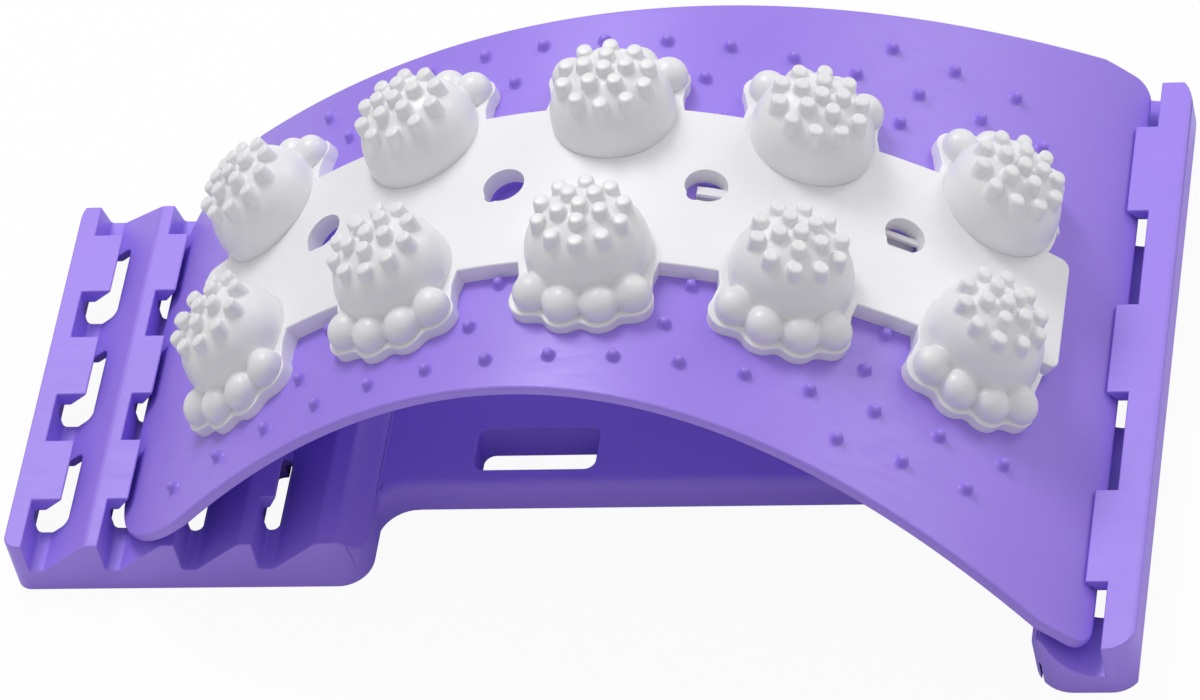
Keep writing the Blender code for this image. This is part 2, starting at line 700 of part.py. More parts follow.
    # Hollows under the beam, beside and between its slots
    edge = BEAM_WIDTH / 2 - WALL - BEAM_EDGE_RADIUS / 3
    inner_edge = SLOT_OFFSET - SLOT_WIDTH / 2 - WALL
    right_start = slot_x[1] + WALL
    right_bay = (wide_in - right_start) / BEAM_BAYS
    spans = [
        (narrow_in + WALL, slot_x[0] - WALL, edge, inner_edge),
        (slot_x[0], slot_x[1], inner_edge, inner_edge),
    ]
    for k in range(BEAM_BAYS):
        start = right_start + right_bay * k
        spans.append((start, start + right_bay - WALL, edge, inner_edge))
    for x0, x1, outer, inner in spans:
        across = [(-inner, -WALL / 2), (WALL / 2, inner)]
        if outer > inner:
            across += [(-outer, -inner - WALL), (inner + WALL, outer)]
        for y0, y1 in across:
            cuts.append(prism("pocket", rectangle(x0, x1, y0, y1), under, BEAM_HEIGHT - BEAM_SKIN))

    # Hollows under the wide plate, each side of its hook holes
    for y0, y1 in pocket_bays(wide, 2 * WALL, [-WIDE_HOOK_SPACING / 2, WIDE_HOOK_SPACING / 2]):
        inner = rectangle(wide_in + WALL, WIDE_WALL - WIDE_HOLE[1] - WALL, y0, y1)
        cuts.append(prism("pocket", inner, under, WIDE_FLOOR + WIDE_SCOOP_SKIN))
        outer = rectangle(WIDE_WALL - WIDE_HOLE[0] + WALL, HALF_LENGTH - EDGE_DRAFT - 0.8 * WALL, y0, y1)
        cuts.append(prism("pocket", outer, under, BASE_HEIGHT - SKIN))
    boolean(base, joined("cuts", cuts), "DIFFERENCE")
    tidy(base)
    return finish(base, "base_frame", paint)


# Panel

def stud(arc, across):
    rings = []
    for radius, level in ((STUD_RADIUS, -MM), (STUD_RADIUS * 0.45, STUD_HEIGHT)):
        rings.append([(x, y, level) for x, y in circle(arc, across, radius, STUD_SIDES)])
    return stacked("stud", rings)


def stud_places():
    places = []
    for across, middle, pitch, first, last, step in STUD_ROWS:
        k = first
        while k <= last:
            x = middle + pitch * k - STUD_CLOSING * k * abs(k)
            places += [(arc_at(x), across), (arc_at(x), -across)]
            k += step
    return places


def head_arcs():
    middle = (HEADS_PER_SIDE - 1) / 2
    return [(k - middle) * HEAD_PITCH for k in range(HEADS_PER_SIDE)]


def window_places():
    """Windows midway between the heads; the first one sits off that pitch."""
    places = [(arc + HEAD_PITCH / 2, WINDOW_OFFSET) for arc in head_arcs()[:-1]]
    arc, across = places[0]
    places[0] = (arc + FIRST_WINDOW_SHIFT[0], across + FIRST_WINDOW_SHIFT[1])
    return places


def build_panel(paint):
    panel = prism("panel", panel_outline(), -PANEL_THICKNESS, 0.0)
    boolean(panel, joined("studs", [stud(*place) for place in stud_places()]), "UNION")
    holes = []
    for arc in head_arcs():
        for side in (-1, 1):
            outline = circle(arc, side * HEAD_OFFSET, STEM_HOLE_RADIUS)
            holes.append(prism("hole", outline, -2 * PANEL_THICKNESS, PANEL_THICKNESS))
    for (arc, across), length in zip(window_places(), PANEL_HOLE_LENGTHS):
        if length > 0:
            right = arc + PANEL_HOLE_LENGTHS[-1] / 2
            near = across - PANEL_HOLE_WIDTH / 2
            outline = rectangle(right - length, right, near, near + PANEL_HOLE_WIDTH)
            holes.append(prism("hole", outline, -2 * PANEL_THICKNESS, PANEL_THICKNESS))
    boolean(panel, joined("holes", holes), "DIFFERENCE")
    tidy(panel)
    bend(panel)
    return finish(panel, "arch_board", paint)


# Strip

def tab_shapes(arc, side):
    """Neck and scallops of one cloud-shaped tab beside the strip."""
    centre = side * HEAD_OFFSET
    neck = [(-TAB_ROOT_HALF_WIDTH, 0.0), (TAB_ROOT_HALF_WIDTH, 0.0)]
    neck += [(TAB_HALF_WIDTH, TAB_NECK_REACH), (TAB_HALF_WIDTH, TAB_REACH)]
    neck += [(-TAB_HALF_WIDTH, TAB_REACH), (-TAB_HALF_WIDTH, TAB_NECK_REACH)]
    outline = [(arc + x, centre + side * y) for x, y in neck]
    shapes = [prism("neck", outline, GAP, STRIP_TOP)]
    for along, outward in SCALLOP_PLACES:
        outline = circle(arc + along, centre + side * outward, SCALLOP_RADIUS, SCALLOP_SIDES)
        shapes.append(prism("scallop", outline, GAP, STRIP_TOP))
    return shapes


def tab_level(across):
    """Upper face of strip and tabs: level over the strip, then falling outward."""
    share = (abs(across) - TAB_SLOPE_START) / (TAB_SLOPE_END - TAB_SLOPE_START)
    return STRIP_TOP - TAB_DROP * max(share, 0.0)


def slope_tabs(strip):
    shape = bmesh.new()
    shape.from_mesh(strip.data)
    bmesh.ops.triangulate(shape, faces=shape.faces)
    for side in (-1, 1):
        everything = list(shape.verts) + list(shape.edges) + list(shape.faces)
        place = (0, side * TAB_SLOPE_START, 0)
        bmesh.ops.bisect_plane(shape, geom=everything, dist=WELD, plane_co=place, plane_no=(0, 1, 0))
    for vert in shape.verts:
        if abs(vert.co.z - STRIP_TOP) < ON_LEVEL:
            vert.co.z = tab_level(vert.co.y)
    shape.to_mesh(strip.data)
    shape.free()


def build_strip(paint):
    corners = rectangle(-STRIP_LEFT_REACH, STRIP_RIGHT_REACH, -STRIP_HALF_WIDTH, STRIP_HALF_WIDTH, STRIP_CORNER)
    strip = prism("strip", corners, GAP, STRIP_TOP)
    for arc in head_arcs():
        for side in (-1, 1):
            for shape in tab_shapes(arc, side):
                boolean(strip, shape, "UNION")
    slope_tabs(strip)
    cuts = []
    for arc, across in window_places():
        outline = circle(arc, across, WINDOW_RADIUS, SCALLOP_SIDES)
        window = prism("window", outline, -STRIP_TOP, 2 * STRIP_TOP)
        notch_place = (arc + WINDOW_NOTCH_PLACE[0], across + WINDOW_NOTCH_PLACE[1])
        notch = prism("notch", circle(*notch_place, WINDOW_NOTCH_RADIUS), STRIP_TOP / 2, 2 * STRIP_TOP)
        boolean(window, notch, "UNION")
        cuts.append(window)
    for arc in head_arcs():
        for side in (-1, 1):
            outline = circle(arc, side * HEAD_OFFSET, STEM_HOLE_RADIUS)
            cuts.append(prism("hole", outline, -STRIP_TOP, 2 * STRIP_TOP))
    # Hollows of the underside, between the windows and the head sockets
    hollow_y = STRIP_HALF_WIDTH - STRIP_WALL
    for arc, across in window_places():
        inner = WINDOW_RADIUS + across + STRIP_WALL
        for side in (-1, 1):
            span = sorted((side * inner, side * hollow_y))
            outline = rectangle(arc - HOLLOW_REACH, arc + HOLLOW_REACH, *span)
            cuts.append(prism("hollow", outline, -STRIP_TOP, STRIP_TOP - STRIP_SKIN))
    boolean(strip, joined("cuts", cuts), "DIFFERENCE")
    # Retaining bars across the bottom of two windows
    bars = []
    for (arc, across), window_bars in zip(window_places(), WINDOW_BARS):
        for offset, width in window_bars:
            middle = across + offset
            outline = rectangle(arc - BAR_REACH, arc + BAR_REACH, middle - width / 2, middle + width / 2)
            bars.append(prism("bar", outline, GAP, GAP + BAR_THICKNESS))
    boolean(strip, joined("bars", bars), "UNION")
    tidy(strip)
    bend(strip)
    return finish(strip, "massage_strip", paint)


# Heads

def dome():
    """Round-topped shell of a head on a straight skirt."""
    levels = [(DOME_RADIUS, -SKIRT_DEPTH)]
    for r in range(DOME_RINGS):
        turn = radians(84) * r / DOME_RINGS
        levels.append((DOME_RADIUS * cos(turn), DOME_HEIGHT * sin(turn)))
    rings = [[(x, y, level) for x, y in circle(0.0, 0.0, radius, DOME_SIDES)] for radius, level in levels]
    rings.append([(x, y, DOME_HEIGHT) for x, y in circle(0.0, 0.0, DOME_RADIUS * 0.1, DOME_SIDES)])
    return stacked("dome", rings)


def ball(x, y):
    """One ball of the chain, on a narrower foot that reaches the tab."""
    levels = [(BALL_RADIUS * cos(radians(BALL_LATITUDES[0])), -BALL_FOOT)]
    for latitude in BALL_LATITUDES:
        turn = radians(latitude)
        levels.append((BALL_RADIUS * cos(turn), BALL_RISE + BALL_RADIUS * sin(turn)))
    levels.append((BALL_RADIUS * 0.2, BALL_RISE + BALL_RADIUS))
    rings = [[(px, py, level) for px, py in circle(x, y, radius, BALL_SIDES)] for radius, level in levels]
    return stacked("ball", rings)


def peg_places(side):
    """Pegs in rings round a middle one, the first of each ring facing outward."""
    places = []
    for radius, count in PEG_RINGS:
        for k in range(count):
            turn = side * (pi / 2 + 2 * pi * k / count)
            places.append((radius * cos(turn), radius * sin(turn)))
    return places


def peg(x, y):
    surface = DOME_HEIGHT * sqrt(1 - (x * x + y * y) / DOME_RADIUS ** 2)
    rings = []
    for radius, level in ((PEG_RADIUS, surface - PEG_ROOT), (PEG_TIP_RADIUS, surface + PEG_PROUD)):
        rings.append([(px, py, level) for px, py in circle(x, y, radius, PEG_SIDES)])
    return stacked("peg", rings)


def head_blank(side):
    """Dome, pegs, four balls and the web that ties them, before the foot is cut."""
    head = dome()
    for along, outward in BALL_PLACES:
        boolean(head, ball(along, side * outward), "UNION")
    web = [(x * WEB_SHARE, side * y * WEB_SHARE) for x, y in BALL_PLACES]
    web = [(web[0][0], 0.0)] + web + [(web[-1][0], 0.0)]
    boolean(head, prism("web", web, -BALL_FOOT, WEB_HEIGHT), "UNION")
    boolean(head, joined("pegs", [peg(x, y) for x, y in peg_places(side)]), "UNION")
    return head


def seat_cutter(arc):
    """Everything below the upper face of strip and tabs, with a small clearance."""
    edge = BALL_PLACES[1][1] + HEAD_OFFSET + 3 * BALL_RADIUS
    section = [(-edge, -3 * STRIP_TOP), (edge, -3 * STRIP_TOP)]
    for across in (edge, TAB_SLOPE_START, -TAB_SLOPE_START, -edge):
        section.append((across, tab_level(across) + GAP))
    reach = BALL_PLACES[1][1] + 3 * BALL_RADIUS
    cutter = prism("seat", section, arc - reach, arc + reach, axis="X")
    bend(cutter)
    return cutter


def stem(side):
    """Snap stem that holds the head, the strip and the panel together."""
    under = -STRIP_TOP - PANEL_THICKNESS - 3 * GAP
    rings = []
    levels = [
        (STEM_RADIUS * 0.8, under - BARB_LENGTH),
        (BARB_RADIUS, under - BARB_LENGTH * 0.3),
        (BARB_RADIUS, under),
        (STEM_RADIUS, under),
        (STEM_RADIUS, STEM_ROOT),
    ]
    for radius, level in levels:
        rings.append([(x, y, level) for x, y in circle(0.0, 0.0, radius)])
    return stacked("stem", rings)


def build_head(name, blank, arc, side, paint):
    head = bpy.data.objects.new(name, blank.data.copy())
    bpy.context.scene.collection.objects.link(head)
    frame = arch_frame(arc, side * HEAD_OFFSET, STRIP_TOP)
    cutter = seat_cutter(arc)
    cutter.data.transform(frame.inverted())
    boolean(head, cutter, "DIFFERENCE")
    boolean(head, stem(side), "UNION")
    tidy(head)
    head.matrix_world = frame
    return finish(head, name, paint, smooth_angle=38.0)


clear_scene()
build_base(material("purple_base_plastic", (0.37, 0.25, 0.80), 0.42))
build_panel(material("purple_panel_plastic", (0.38, 0.26, 0.82), 0.40))
build_strip(material("white_strip_plastic", (0.83, 0.82, 0.85), 0.38))
head_paint = material("white_head_plastic", (0.78, 0.78, 0.80), 0.36)
for side, side_name in ((-1, "near"), (1, "far")):
    blank_head = head_blank(side)
    for number, head_arc in enumerate(head_arcs(), start=1):
        build_head("head_%s_%d" % (side_name, number), blank_head, head_arc, side, head_paint)
    bpy.data.objects.remove(blank_head, do_unlink=True)
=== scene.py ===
# Looks of the lumbar back stretcher: a purple base and flexed panel with white massage pieces.
# Metres, +Z up; X runs along the arch towards the wide end, Y across it.

from math import atan2, ceil, cos, hypot, pi, radians, sin, sqrt, tan

import bmesh
import bpy
from mathutils import Matrix, Vector


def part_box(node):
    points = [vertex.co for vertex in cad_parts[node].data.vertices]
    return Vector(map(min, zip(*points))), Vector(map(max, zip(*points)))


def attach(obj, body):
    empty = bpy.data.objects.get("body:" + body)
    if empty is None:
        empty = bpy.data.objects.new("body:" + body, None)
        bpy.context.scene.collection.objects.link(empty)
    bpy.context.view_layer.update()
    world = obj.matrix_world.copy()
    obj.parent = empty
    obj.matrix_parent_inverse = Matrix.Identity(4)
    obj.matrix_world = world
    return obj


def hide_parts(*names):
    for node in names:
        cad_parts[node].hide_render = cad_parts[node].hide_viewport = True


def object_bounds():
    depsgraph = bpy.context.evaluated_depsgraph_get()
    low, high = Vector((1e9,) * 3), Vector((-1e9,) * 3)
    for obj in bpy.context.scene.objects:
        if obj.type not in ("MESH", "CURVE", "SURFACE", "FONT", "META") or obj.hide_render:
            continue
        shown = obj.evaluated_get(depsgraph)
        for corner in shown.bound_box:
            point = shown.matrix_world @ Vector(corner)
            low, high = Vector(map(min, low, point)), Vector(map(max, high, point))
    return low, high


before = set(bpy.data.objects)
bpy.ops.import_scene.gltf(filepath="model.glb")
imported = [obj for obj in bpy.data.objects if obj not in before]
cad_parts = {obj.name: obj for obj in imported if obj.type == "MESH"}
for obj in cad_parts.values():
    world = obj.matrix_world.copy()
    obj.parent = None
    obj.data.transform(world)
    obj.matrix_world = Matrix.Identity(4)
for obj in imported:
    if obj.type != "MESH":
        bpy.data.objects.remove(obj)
cad_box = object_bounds()


# Base
# One hollow moulding of purple plastic with a satin skin: a narrow plate with four
# groove rows, a wide plate with one fixed groove, and a low beam that joins them.
# Wedge hooks over the grooves hold the panel's ends, each over its own core hole.

MM = 0.001
BASE_LENGTH = 380.0 * MM
BASE_HEIGHT = 22.3 * MM
WIDE_DEPTH = 250.0 * MM
NARROW_DEPTH = 158.0 * MM
HALF_LENGTH = BASE_LENGTH / 2
NARROW_PLATE_LENGTH = 121.0 * MM
WIDE_PLATE_LENGTH = 35.0 * MM
NARROW_IN = -HALF_LENGTH + NARROW_PLATE_LENGTH
WIDE_IN = HALF_LENGTH - WIDE_PLATE_LENGTH
NARROW_END_CORNER = 5.0 * MM
NARROW_BACK_CORNER = 11.0 * MM
NARROW_INNER_CORNER = 12.0 * MM
WIDE_END_CORNER = 10.0 * MM
WIDE_BACK_CORNER = 13.0 * MM
WIDE_INNER_CORNER = 14.0 * MM
FAR_LEAN = 7.5 * MM
EDGE_ROUNDING = 0.55 * MM

# Beam: its outline runs on into the narrow and the wide plate by the reaches, and what
# lies past the overlaps is cut off
BEAM_WIDTH = 94.8 * MM
BEAM_HEIGHT = 12.0 * MM
BEAM_EDGE_RADIUS = 5.0 * MM
BEAM_SIDE_INSET = 0.6 * MM
BEAM_REACHES = (14.0 * MM, 16.0 * MM)
BEAM_OVERLAPS = (11.0 * MM, 3.0 * MM)
SLOT_SPAN = (-38.0 * MM, 3.0 * MM)
SLOT_INNER = 21.65 * MM
SLOT_OUTER = 39.55 * MM
SLOT_DRAFT = 2.4 * MM
SLOT_CORNER = 3.7 * MM

# Grooves of both plates, with the easing of their edges as (along, drop)
GROOVE_ROWS = 4
ROW_PITCH = 26.2 * MM
NARROW_RAIL = 6.6 * MM
NARROW_WALLS = [-HALF_LENGTH + NARROW_RAIL + ROW_PITCH * row for row in range(GROOVE_ROWS)]
GROOVE_FLOOR = 9.4 * MM
GROOVE_FLOOR_WIDTH = 4.8 * MM
GROOVE_FOOT = 1.4 * MM
CREST_WIDTH = 4.0 * MM
CREST_EASING = ((-1.5 * MM, 0.7 * MM), (-0.6 * MM, 0.2 * MM), (0.5 * MM, 0.0))
SLOPE_OVERRUN = 1.5 * MM
WIDE_RAIL = 10.9 * MM
WIDE_WALL = HALF_LENGTH - WIDE_RAIL
WIDE_FLOOR = 8.2 * MM
WIDE_FLOOR_WIDTH = 2.0 * MM
WIDE_SLOPE_TOP = 4.0 * MM
WIDE_CREST_INSET = 5.0 * MM
WIDE_EDGE_EASING = ((-1.5 * MM, 0.0), (-0.4 * MM, 0.5 * MM), (0.0, 1.5 * MM))
WIDE_TUCK = 2.1 * MM

# Walls, skins and ribs of the hollow underside, and the level below the floor from which
# it is cut
WALL = 2.4 * MM
SKIN = 3.0 * MM
BEAM_SKIN = 2.6 * MM
CREST_SKIN = 3.6 * MM
HOLE_WALL = 1.2 * MM
RIB_TOE = 0.6 * MM
LAST_HOLLOW_MARGIN = 10.0 * MM
WIDE_HOLLOW_RISE = 0.6 * MM
WIDE_END_WALL = 4.0 * MM
BEAM_BAYS = 5
UNDER = -5.0 * MM

# Hook sections, as (reach, root reach, nose thickness, root thickness), and the core
# hole of each, as (back reach, front reach, near margin, far margin)
LONG_HOOK = (10.0 * MM, 3.5 * MM, 0.9 * MM, 5.9 * MM)
MIDDLE_HOOK = (6.9 * MM, 2.5 * MM, 0.9 * MM, 5.9 * MM)
SHORT_HOOK = (4.8 * MM, 1.8 * MM, 0.9 * MM, 5.9 * MM)
WIDE_HOOK = (7.2 * MM, 3.9 * MM, 0.9 * MM, 4.8 * MM)
LONG_HOLE = (-5.3 * MM, 10.8 * MM, 3.2 * MM, 1.6 * MM)
MIDDLE_HOLE = (-5.6 * MM, 7.7 * MM, 1.6 * MM, 0.8 * MM)
SHORT_HOLE = (-4.8 * MM, 3.8 * MM, 3.2 * MM, 0.8 * MM)
WIDE_HOLE = (-1.2 * MM, 9.2 * MM, 3.2 * MM, 0.8 * MM)
NARROW_HOOKS = (LONG_HOOK, MIDDLE_HOOK, SHORT_HOOK, SHORT_HOOK)
NARROW_HOLES = (LONG_HOLE, MIDDLE_HOLE, SHORT_HOLE, SHORT_HOLE)
HOOK_ROOT_DEPTH = 2.2 * MM
NARROW_HOOK_LENGTH = 25.6 * MM
NARROW_HOOK_SPACING = 45.8 * MM
WIDE_HOOK_LENGTH = 37.8 * MM
WIDE_HOOK_SPACING = 78.7 * MM
HOLE_BACK_CORNER = 4.5 * MM
HOLE_FRONT_CORNER = 2.5 * MM


def hook_spans(length, spacing):
    """Y spans of the three hooks in a row."""
    return [(y - length / 2, y + length / 2) for y in (-spacing, 0.0, spacing)]


NARROW_HOOK_SPANS = hook_spans(NARROW_HOOK_LENGTH, NARROW_HOOK_SPACING)
WIDE_HOOK_SPANS = hook_spans(WIDE_HOOK_LENGTH, WIDE_HOOK_SPACING)


def object_from(name, shape):
    """A scene object from a bmesh, with its faces turned outward."""
    mesh = bpy.data.meshes.new(name)
    bmesh.ops.recalc_face_normals(shape, faces=shape.faces)
    shape.to_mesh(mesh)
    shape.free()
    made = bpy.data.objects.new(name, mesh)
    bpy.context.scene.collection.objects.link(made)
    return made


def stacked(name, rings):
    """A closed solid through matching rings of points, flat at both ends."""
    shape = bmesh.new()
    levels = [[shape.verts.new(point) for point in ring] for ring in rings]
    count = len(rings[0])
    for lower, upper in zip(levels, levels[1:]):
        for i in range(count):
            j = (i + 1) % count
            shape.faces.new((lower[i], lower[j], upper[j], upper[i]))
    shape.faces.new(levels[0])
    shape.faces.new(levels[-1])
    return object_from(name, shape)


def prism(name, outline, low, high, axis="Z"):
    """A straight prism along an axis, from an outline drawn across that axis."""
    if axis == "Z":
        rings = [[(a, b, level) for a, b in outline] for level in (low, high)]
    elif axis == "Y":
        rings = [[(a, level, b) for a, b in outline] for level in (low, high)]
    else:
        rings = [[(level, a, b) for a, b in outline] for level in (low, high)]
    return stacked(name, rings)


def rounded(corners, steps=10):
    """A closed outline from (x, y, radius) corners, each turned with an arc."""
    points = []
    for i, (x, y, radius) in enumerate(corners):
        corner = Vector((x, y))
        before = (Vector(corners[i - 1][:2]) - corner).normalized()
        after = (Vector(corners[(i + 1) % len(corners)][:2]) - corner).normalized()
        if radius <= 0:
            points.append((x, y))
            continue
        half = before.angle(after) / 2
        centre = corner + (before + after).normalized() * (radius / sin(half))
        reach = radius / sin(half) * cos(half)
        start = corner + before * reach - centre
        end = corner + after * reach - centre
        first = atan2(start.y, start.x)
        turn = (atan2(end.y, end.x) - first + pi) % (2 * pi) - pi
        for k in range(steps + 1):
            angle = first + turn * k / steps
            points.append((centre.x + radius * cos(angle), centre.y + radius * sin(angle)))
    return points


def rectangle(x0, x1, y0, y1, radius=0.0, steps=5):
    return rounded([(x0, y0, radius), (x1, y0, radius), (x1, y1, radius), (x0, y1, radius)], steps)


def merge(name, parts):
    """Several shapes as one object, left as they are."""
    shape = bmesh.new()
    for part in parts:
        shape.from_mesh(part.data)
        bpy.data.objects.remove(part, do_unlink=True)
    return object_from(name, shape)


def boolean(target, tool, operation):
    step = target.modifiers.new("step", "BOOLEAN")
    step.operation = operation
    step.solver = "EXACT"
    step.object = tool
    graph = bpy.context.evaluated_depsgraph_get()
    result = bpy.data.meshes.new_from_object(target.evaluated_get(graph))
    target.modifiers.clear()
    target.data = result
    bpy.data.objects.remove(tool, do_unlink=True)


def clean(target):
    """Welds stray points and merges faces that lie in one plane."""
    shape = bmesh.new()
    shape.from_mesh(target.data)
    weld = 0.02 * MM
    bmesh.ops.remove_doubles(shape, verts=shape.verts, dist=weld)
    bmesh.ops.dissolve_degenerate(shape, edges=shape.edges, dist=weld)
    bmesh.ops.dissolve_limit(shape, angle_limit=radians(0.5), verts=shape.verts, edges=shape.edges)
    shape.to_mesh(target.data)
    shape.free()


def plate_outline(x0, x1, half_depth, corner_x0, corner_x1):
    """A plate's outline; the leaning far end turns a wider corner at the outer side."""
    grow0 = FAR_LEAN if x0 < 0 else 0.0
    grow1 = FAR_LEAN - grow0
    return rounded([
        (x0, -half_depth, corner_x0),
        (x1, -half_depth, corner_x1),
        (x1, half_depth, corner_x1 + grow1),
        (x0, half_depth, corner_x0 + grow0),
    ])


def beam_ring(inset, level):
    """Outline of the beam with the fillets that run into both plates."""
    inner = BEAM_WIDTH / 2 - inset
    narrow_side = NARROW_DEPTH / 2 - inset
    wide_side = WIDE_DEPTH / 2 - inset
    corners = [
        (NARROW_IN - BEAM_REACHES[0], -narrow_side, 0.0),
        (NARROW_IN - inset, -narrow_side, NARROW_BACK_CORNER - inset),
        (NARROW_IN - inset, -inner, NARROW_INNER_CORNER + inset),
        (WIDE_IN + inset, -inner, WIDE_INNER_CORNER + inset),
        (WIDE_IN + inset, -wide_side, WIDE_BACK_CORNER - inset),
        (WIDE_IN + BEAM_REACHES[1], -wide_side, 0.0),
    ]
    corners += [(x, -y, radius) for x, y, radius in reversed(corners)]
    return [(x, y, level) for x, y in rounded(corners)]


def groove(wall):
    """Groove floor and rising ramp to the right of a groove wall, as (x, z)."""
    crest = wall + ROW_PITCH - CREST_WIDTH
    points = [(wall, BASE_HEIGHT)]
    for k in range(5):
        turn = pi / 2 * k / 4
        along = GROOVE_FOOT * (1 - cos(turn))
        points.append((wall + along, GROOVE_FLOOR + GROOVE_FOOT * (1 - sin(turn))))
    points.append((wall + GROOVE_FLOOR_WIDTH, GROOVE_FLOOR))
    return points + [(crest + along, BASE_HEIGHT - drop) for along, drop in CREST_EASING]


def eased(x0, z0, x1, z1, steps=12):
    """A soft S-shaped slope between two levels."""
    points = []
    for k in range(steps + 1):
        share = k / steps
        points.append((x0 + (x1 - x0) * share, z0 + (z1 - z0) * (1 - cos(pi * share)) / 2))
    return points


def hook(wall, direction, section, span):
    """Wedge over a groove: flat on top, with its underside cut back to the root."""
    reach, root_reach, nose, root = section
    outline = [
        (wall - direction * HOOK_ROOT_DEPTH, BASE_HEIGHT),
        (wall + direction * reach, BASE_HEIGHT),
        (wall + direction * reach, BASE_HEIGHT - nose),
        (wall + direction * root_reach, BASE_HEIGHT - root),
        (wall - direction * HOOK_ROOT_DEPTH, BASE_HEIGHT - root),
    ]
    return prism("hook", outline, *span, axis="Y")


def core_hole(wall, direction, hole, section, span):
    """Hole under a hook, left by the core that forms the hook's underside."""
    back = wall + direction * hole[0]
    front = wall + direction * hole[1]
    low = span[0] - hole[2]
    high = span[1] + hole[3]
    corners = [
        (back, low, HOLE_BACK_CORNER),
        (front, low, HOLE_FRONT_CORNER),
        (front, high, HOLE_FRONT_CORNER),
        (back, high, HOLE_BACK_CORNER),
    ]
    return prism("hole", rounded(corners, 6), UNDER, BASE_HEIGHT - section[3])


def lean_cut(x0, x1, half_depth):
    """Wedge that leans the far end face of a plate inward towards its top."""
    lean_per_height = FAR_LEAN / BASE_HEIGHT
    section = [
        (half_depth + lean_per_height * MM, -MM),
        (half_depth - FAR_LEAN, BASE_HEIGHT),
        (half_depth - FAR_LEAN, 2 * BASE_HEIGHT),
        (half_depth + FAR_LEAN, 2 * BASE_HEIGHT),
        (half_depth + FAR_LEAN, -MM),
    ]
    return prism("lean", section, x0, x1, axis="X")


def bays(half_depth, side_wall, ribs):
    """Y spans of the hollows between the side walls and the ribs."""
    edges = [-half_depth + side_wall]
    for rib in ribs:
        edges += [rib - WALL / 2, rib + WALL / 2]
    edges.append(half_depth - FAR_LEAN - side_wall)
    return list(zip(edges[0::2], edges[1::2]))


# Beam with rounded upper edges
rings = [beam_ring(BEAM_SIDE_INSET, 0.0)]
for k in range(9):
    turn = pi / 2 * k / 8
    inset = BEAM_SIDE_INSET + BEAM_EDGE_RADIUS * (1 - cos(turn))
    rings.append(beam_ring(inset, BEAM_HEIGHT - BEAM_EDGE_RADIUS * (1 - sin(turn))))
base = stacked("base_shell", rings)
middle = rectangle(NARROW_IN - BEAM_OVERLAPS[0], WIDE_IN + BEAM_OVERLAPS[1], -WIDE_DEPTH, WIDE_DEPTH)
boolean(base, prism("middle", middle, -MM, BASE_HEIGHT), "INTERSECT")

# Narrow plate, cut to its sawtooth section
outline = plate_outline(
    -HALF_LENGTH, NARROW_IN, NARROW_DEPTH / 2, NARROW_END_CORNER, NARROW_BACK_CORNER
)
plate = prism("plate", outline, 0.0, 2 * BASE_HEIGHT)
section = [(-HALF_LENGTH - MM, -MM), (-HALF_LENGTH - MM, BASE_HEIGHT)]
for wall in NARROW_WALLS:
    section += groove(wall)
slope_end = NARROW_IN + SLOPE_OVERRUN
section += eased(NARROW_WALLS[-1] + ROW_PITCH + MM, BASE_HEIGHT, slope_end, BEAM_HEIGHT)
section.append((slope_end, -MM))
boolean(plate, prism("section", section, -WIDE_DEPTH, WIDE_DEPTH, axis="Y"), "INTERSECT")
boolean(base, plate, "UNION")

# Wide plate with its one groove and an outer side that tucks in towards the floor
outline = plate_outline(WIDE_IN, HALF_LENGTH, WIDE_DEPTH / 2, WIDE_BACK_CORNER, WIDE_END_CORNER)
plate = prism("plate", outline, 0.0, 2 * BASE_HEIGHT)
crest = WIDE_IN + WIDE_CREST_INSET
scoop_end = WIDE_WALL - WIDE_FLOOR_WIDTH
scoop_depth = BASE_HEIGHT - WIDE_FLOOR
slope_start = (WIDE_IN - SLOPE_OVERRUN, BEAM_HEIGHT - SLOPE_OVERRUN)
section = [(WIDE_IN - MM, -MM)]
section += eased(*slope_start, WIDE_IN + WIDE_SLOPE_TOP, BASE_HEIGHT, steps=8)
for k in range(13):
    share = k / 12
    section.append((crest + (scoop_end - crest) * share, WIDE_FLOOR + scoop_depth * (1 - share) ** 2))
section += [(WIDE_WALL, WIDE_FLOOR), (WIDE_WALL, BASE_HEIGHT)]
section += [(HALF_LENGTH + along, BASE_HEIGHT - drop) for along, drop in WIDE_EDGE_EASING]
section += [(HALF_LENGTH, BASE_HEIGHT / 2), (HALF_LENGTH - WIDE_TUCK, -MM)]
boolean(plate, prism("section", section, -WIDE_DEPTH, WIDE_DEPTH, axis="Y"), "INTERSECT")
boolean(base, plate, "UNION")

# Hooks, leaning far faces, core holes and the two slots of the beam
hooks = []
cuts = []
for wall, section, hole in zip(NARROW_WALLS, NARROW_HOOKS, NARROW_HOLES):
    hooks += [hook(wall, 1, section, span) for span in NARROW_HOOK_SPANS]
    cuts += [core_hole(wall, 1, hole, section, span) for span in NARROW_HOOK_SPANS]
hooks += [hook(WIDE_WALL, -1, WIDE_HOOK, span) for span in WIDE_HOOK_SPANS]
cuts += [core_hole(WIDE_WALL, -1, WIDE_HOLE, WIDE_HOOK, span) for span in WIDE_HOOK_SPANS]
boolean(base, merge("hooks", hooks), "UNION")
leans = [
    lean_cut(-HALF_LENGTH - MM, NARROW_IN + MM, NARROW_DEPTH / 2),
    lean_cut(WIDE_IN - MM, HALF_LENGTH + MM, WIDE_DEPTH / 2),
]
boolean(base, merge("leans", leans), "DIFFERENCE")
slot_levels = ((UNDER, SLOT_DRAFT), (0.0, SLOT_DRAFT), (BEAM_HEIGHT, 0.0), (2 * BASE_HEIGHT, 0.0))
for side in (-1, 1):
    rings = []
    for level, draft in slot_levels:
        outline = rectangle(*SLOT_SPAN, side * (SLOT_INNER + draft), side * SLOT_OUTER, SLOT_CORNER)
        rings.append([(x, y, level) for x, y in outline])
    cuts.append(stacked("slot", rings))
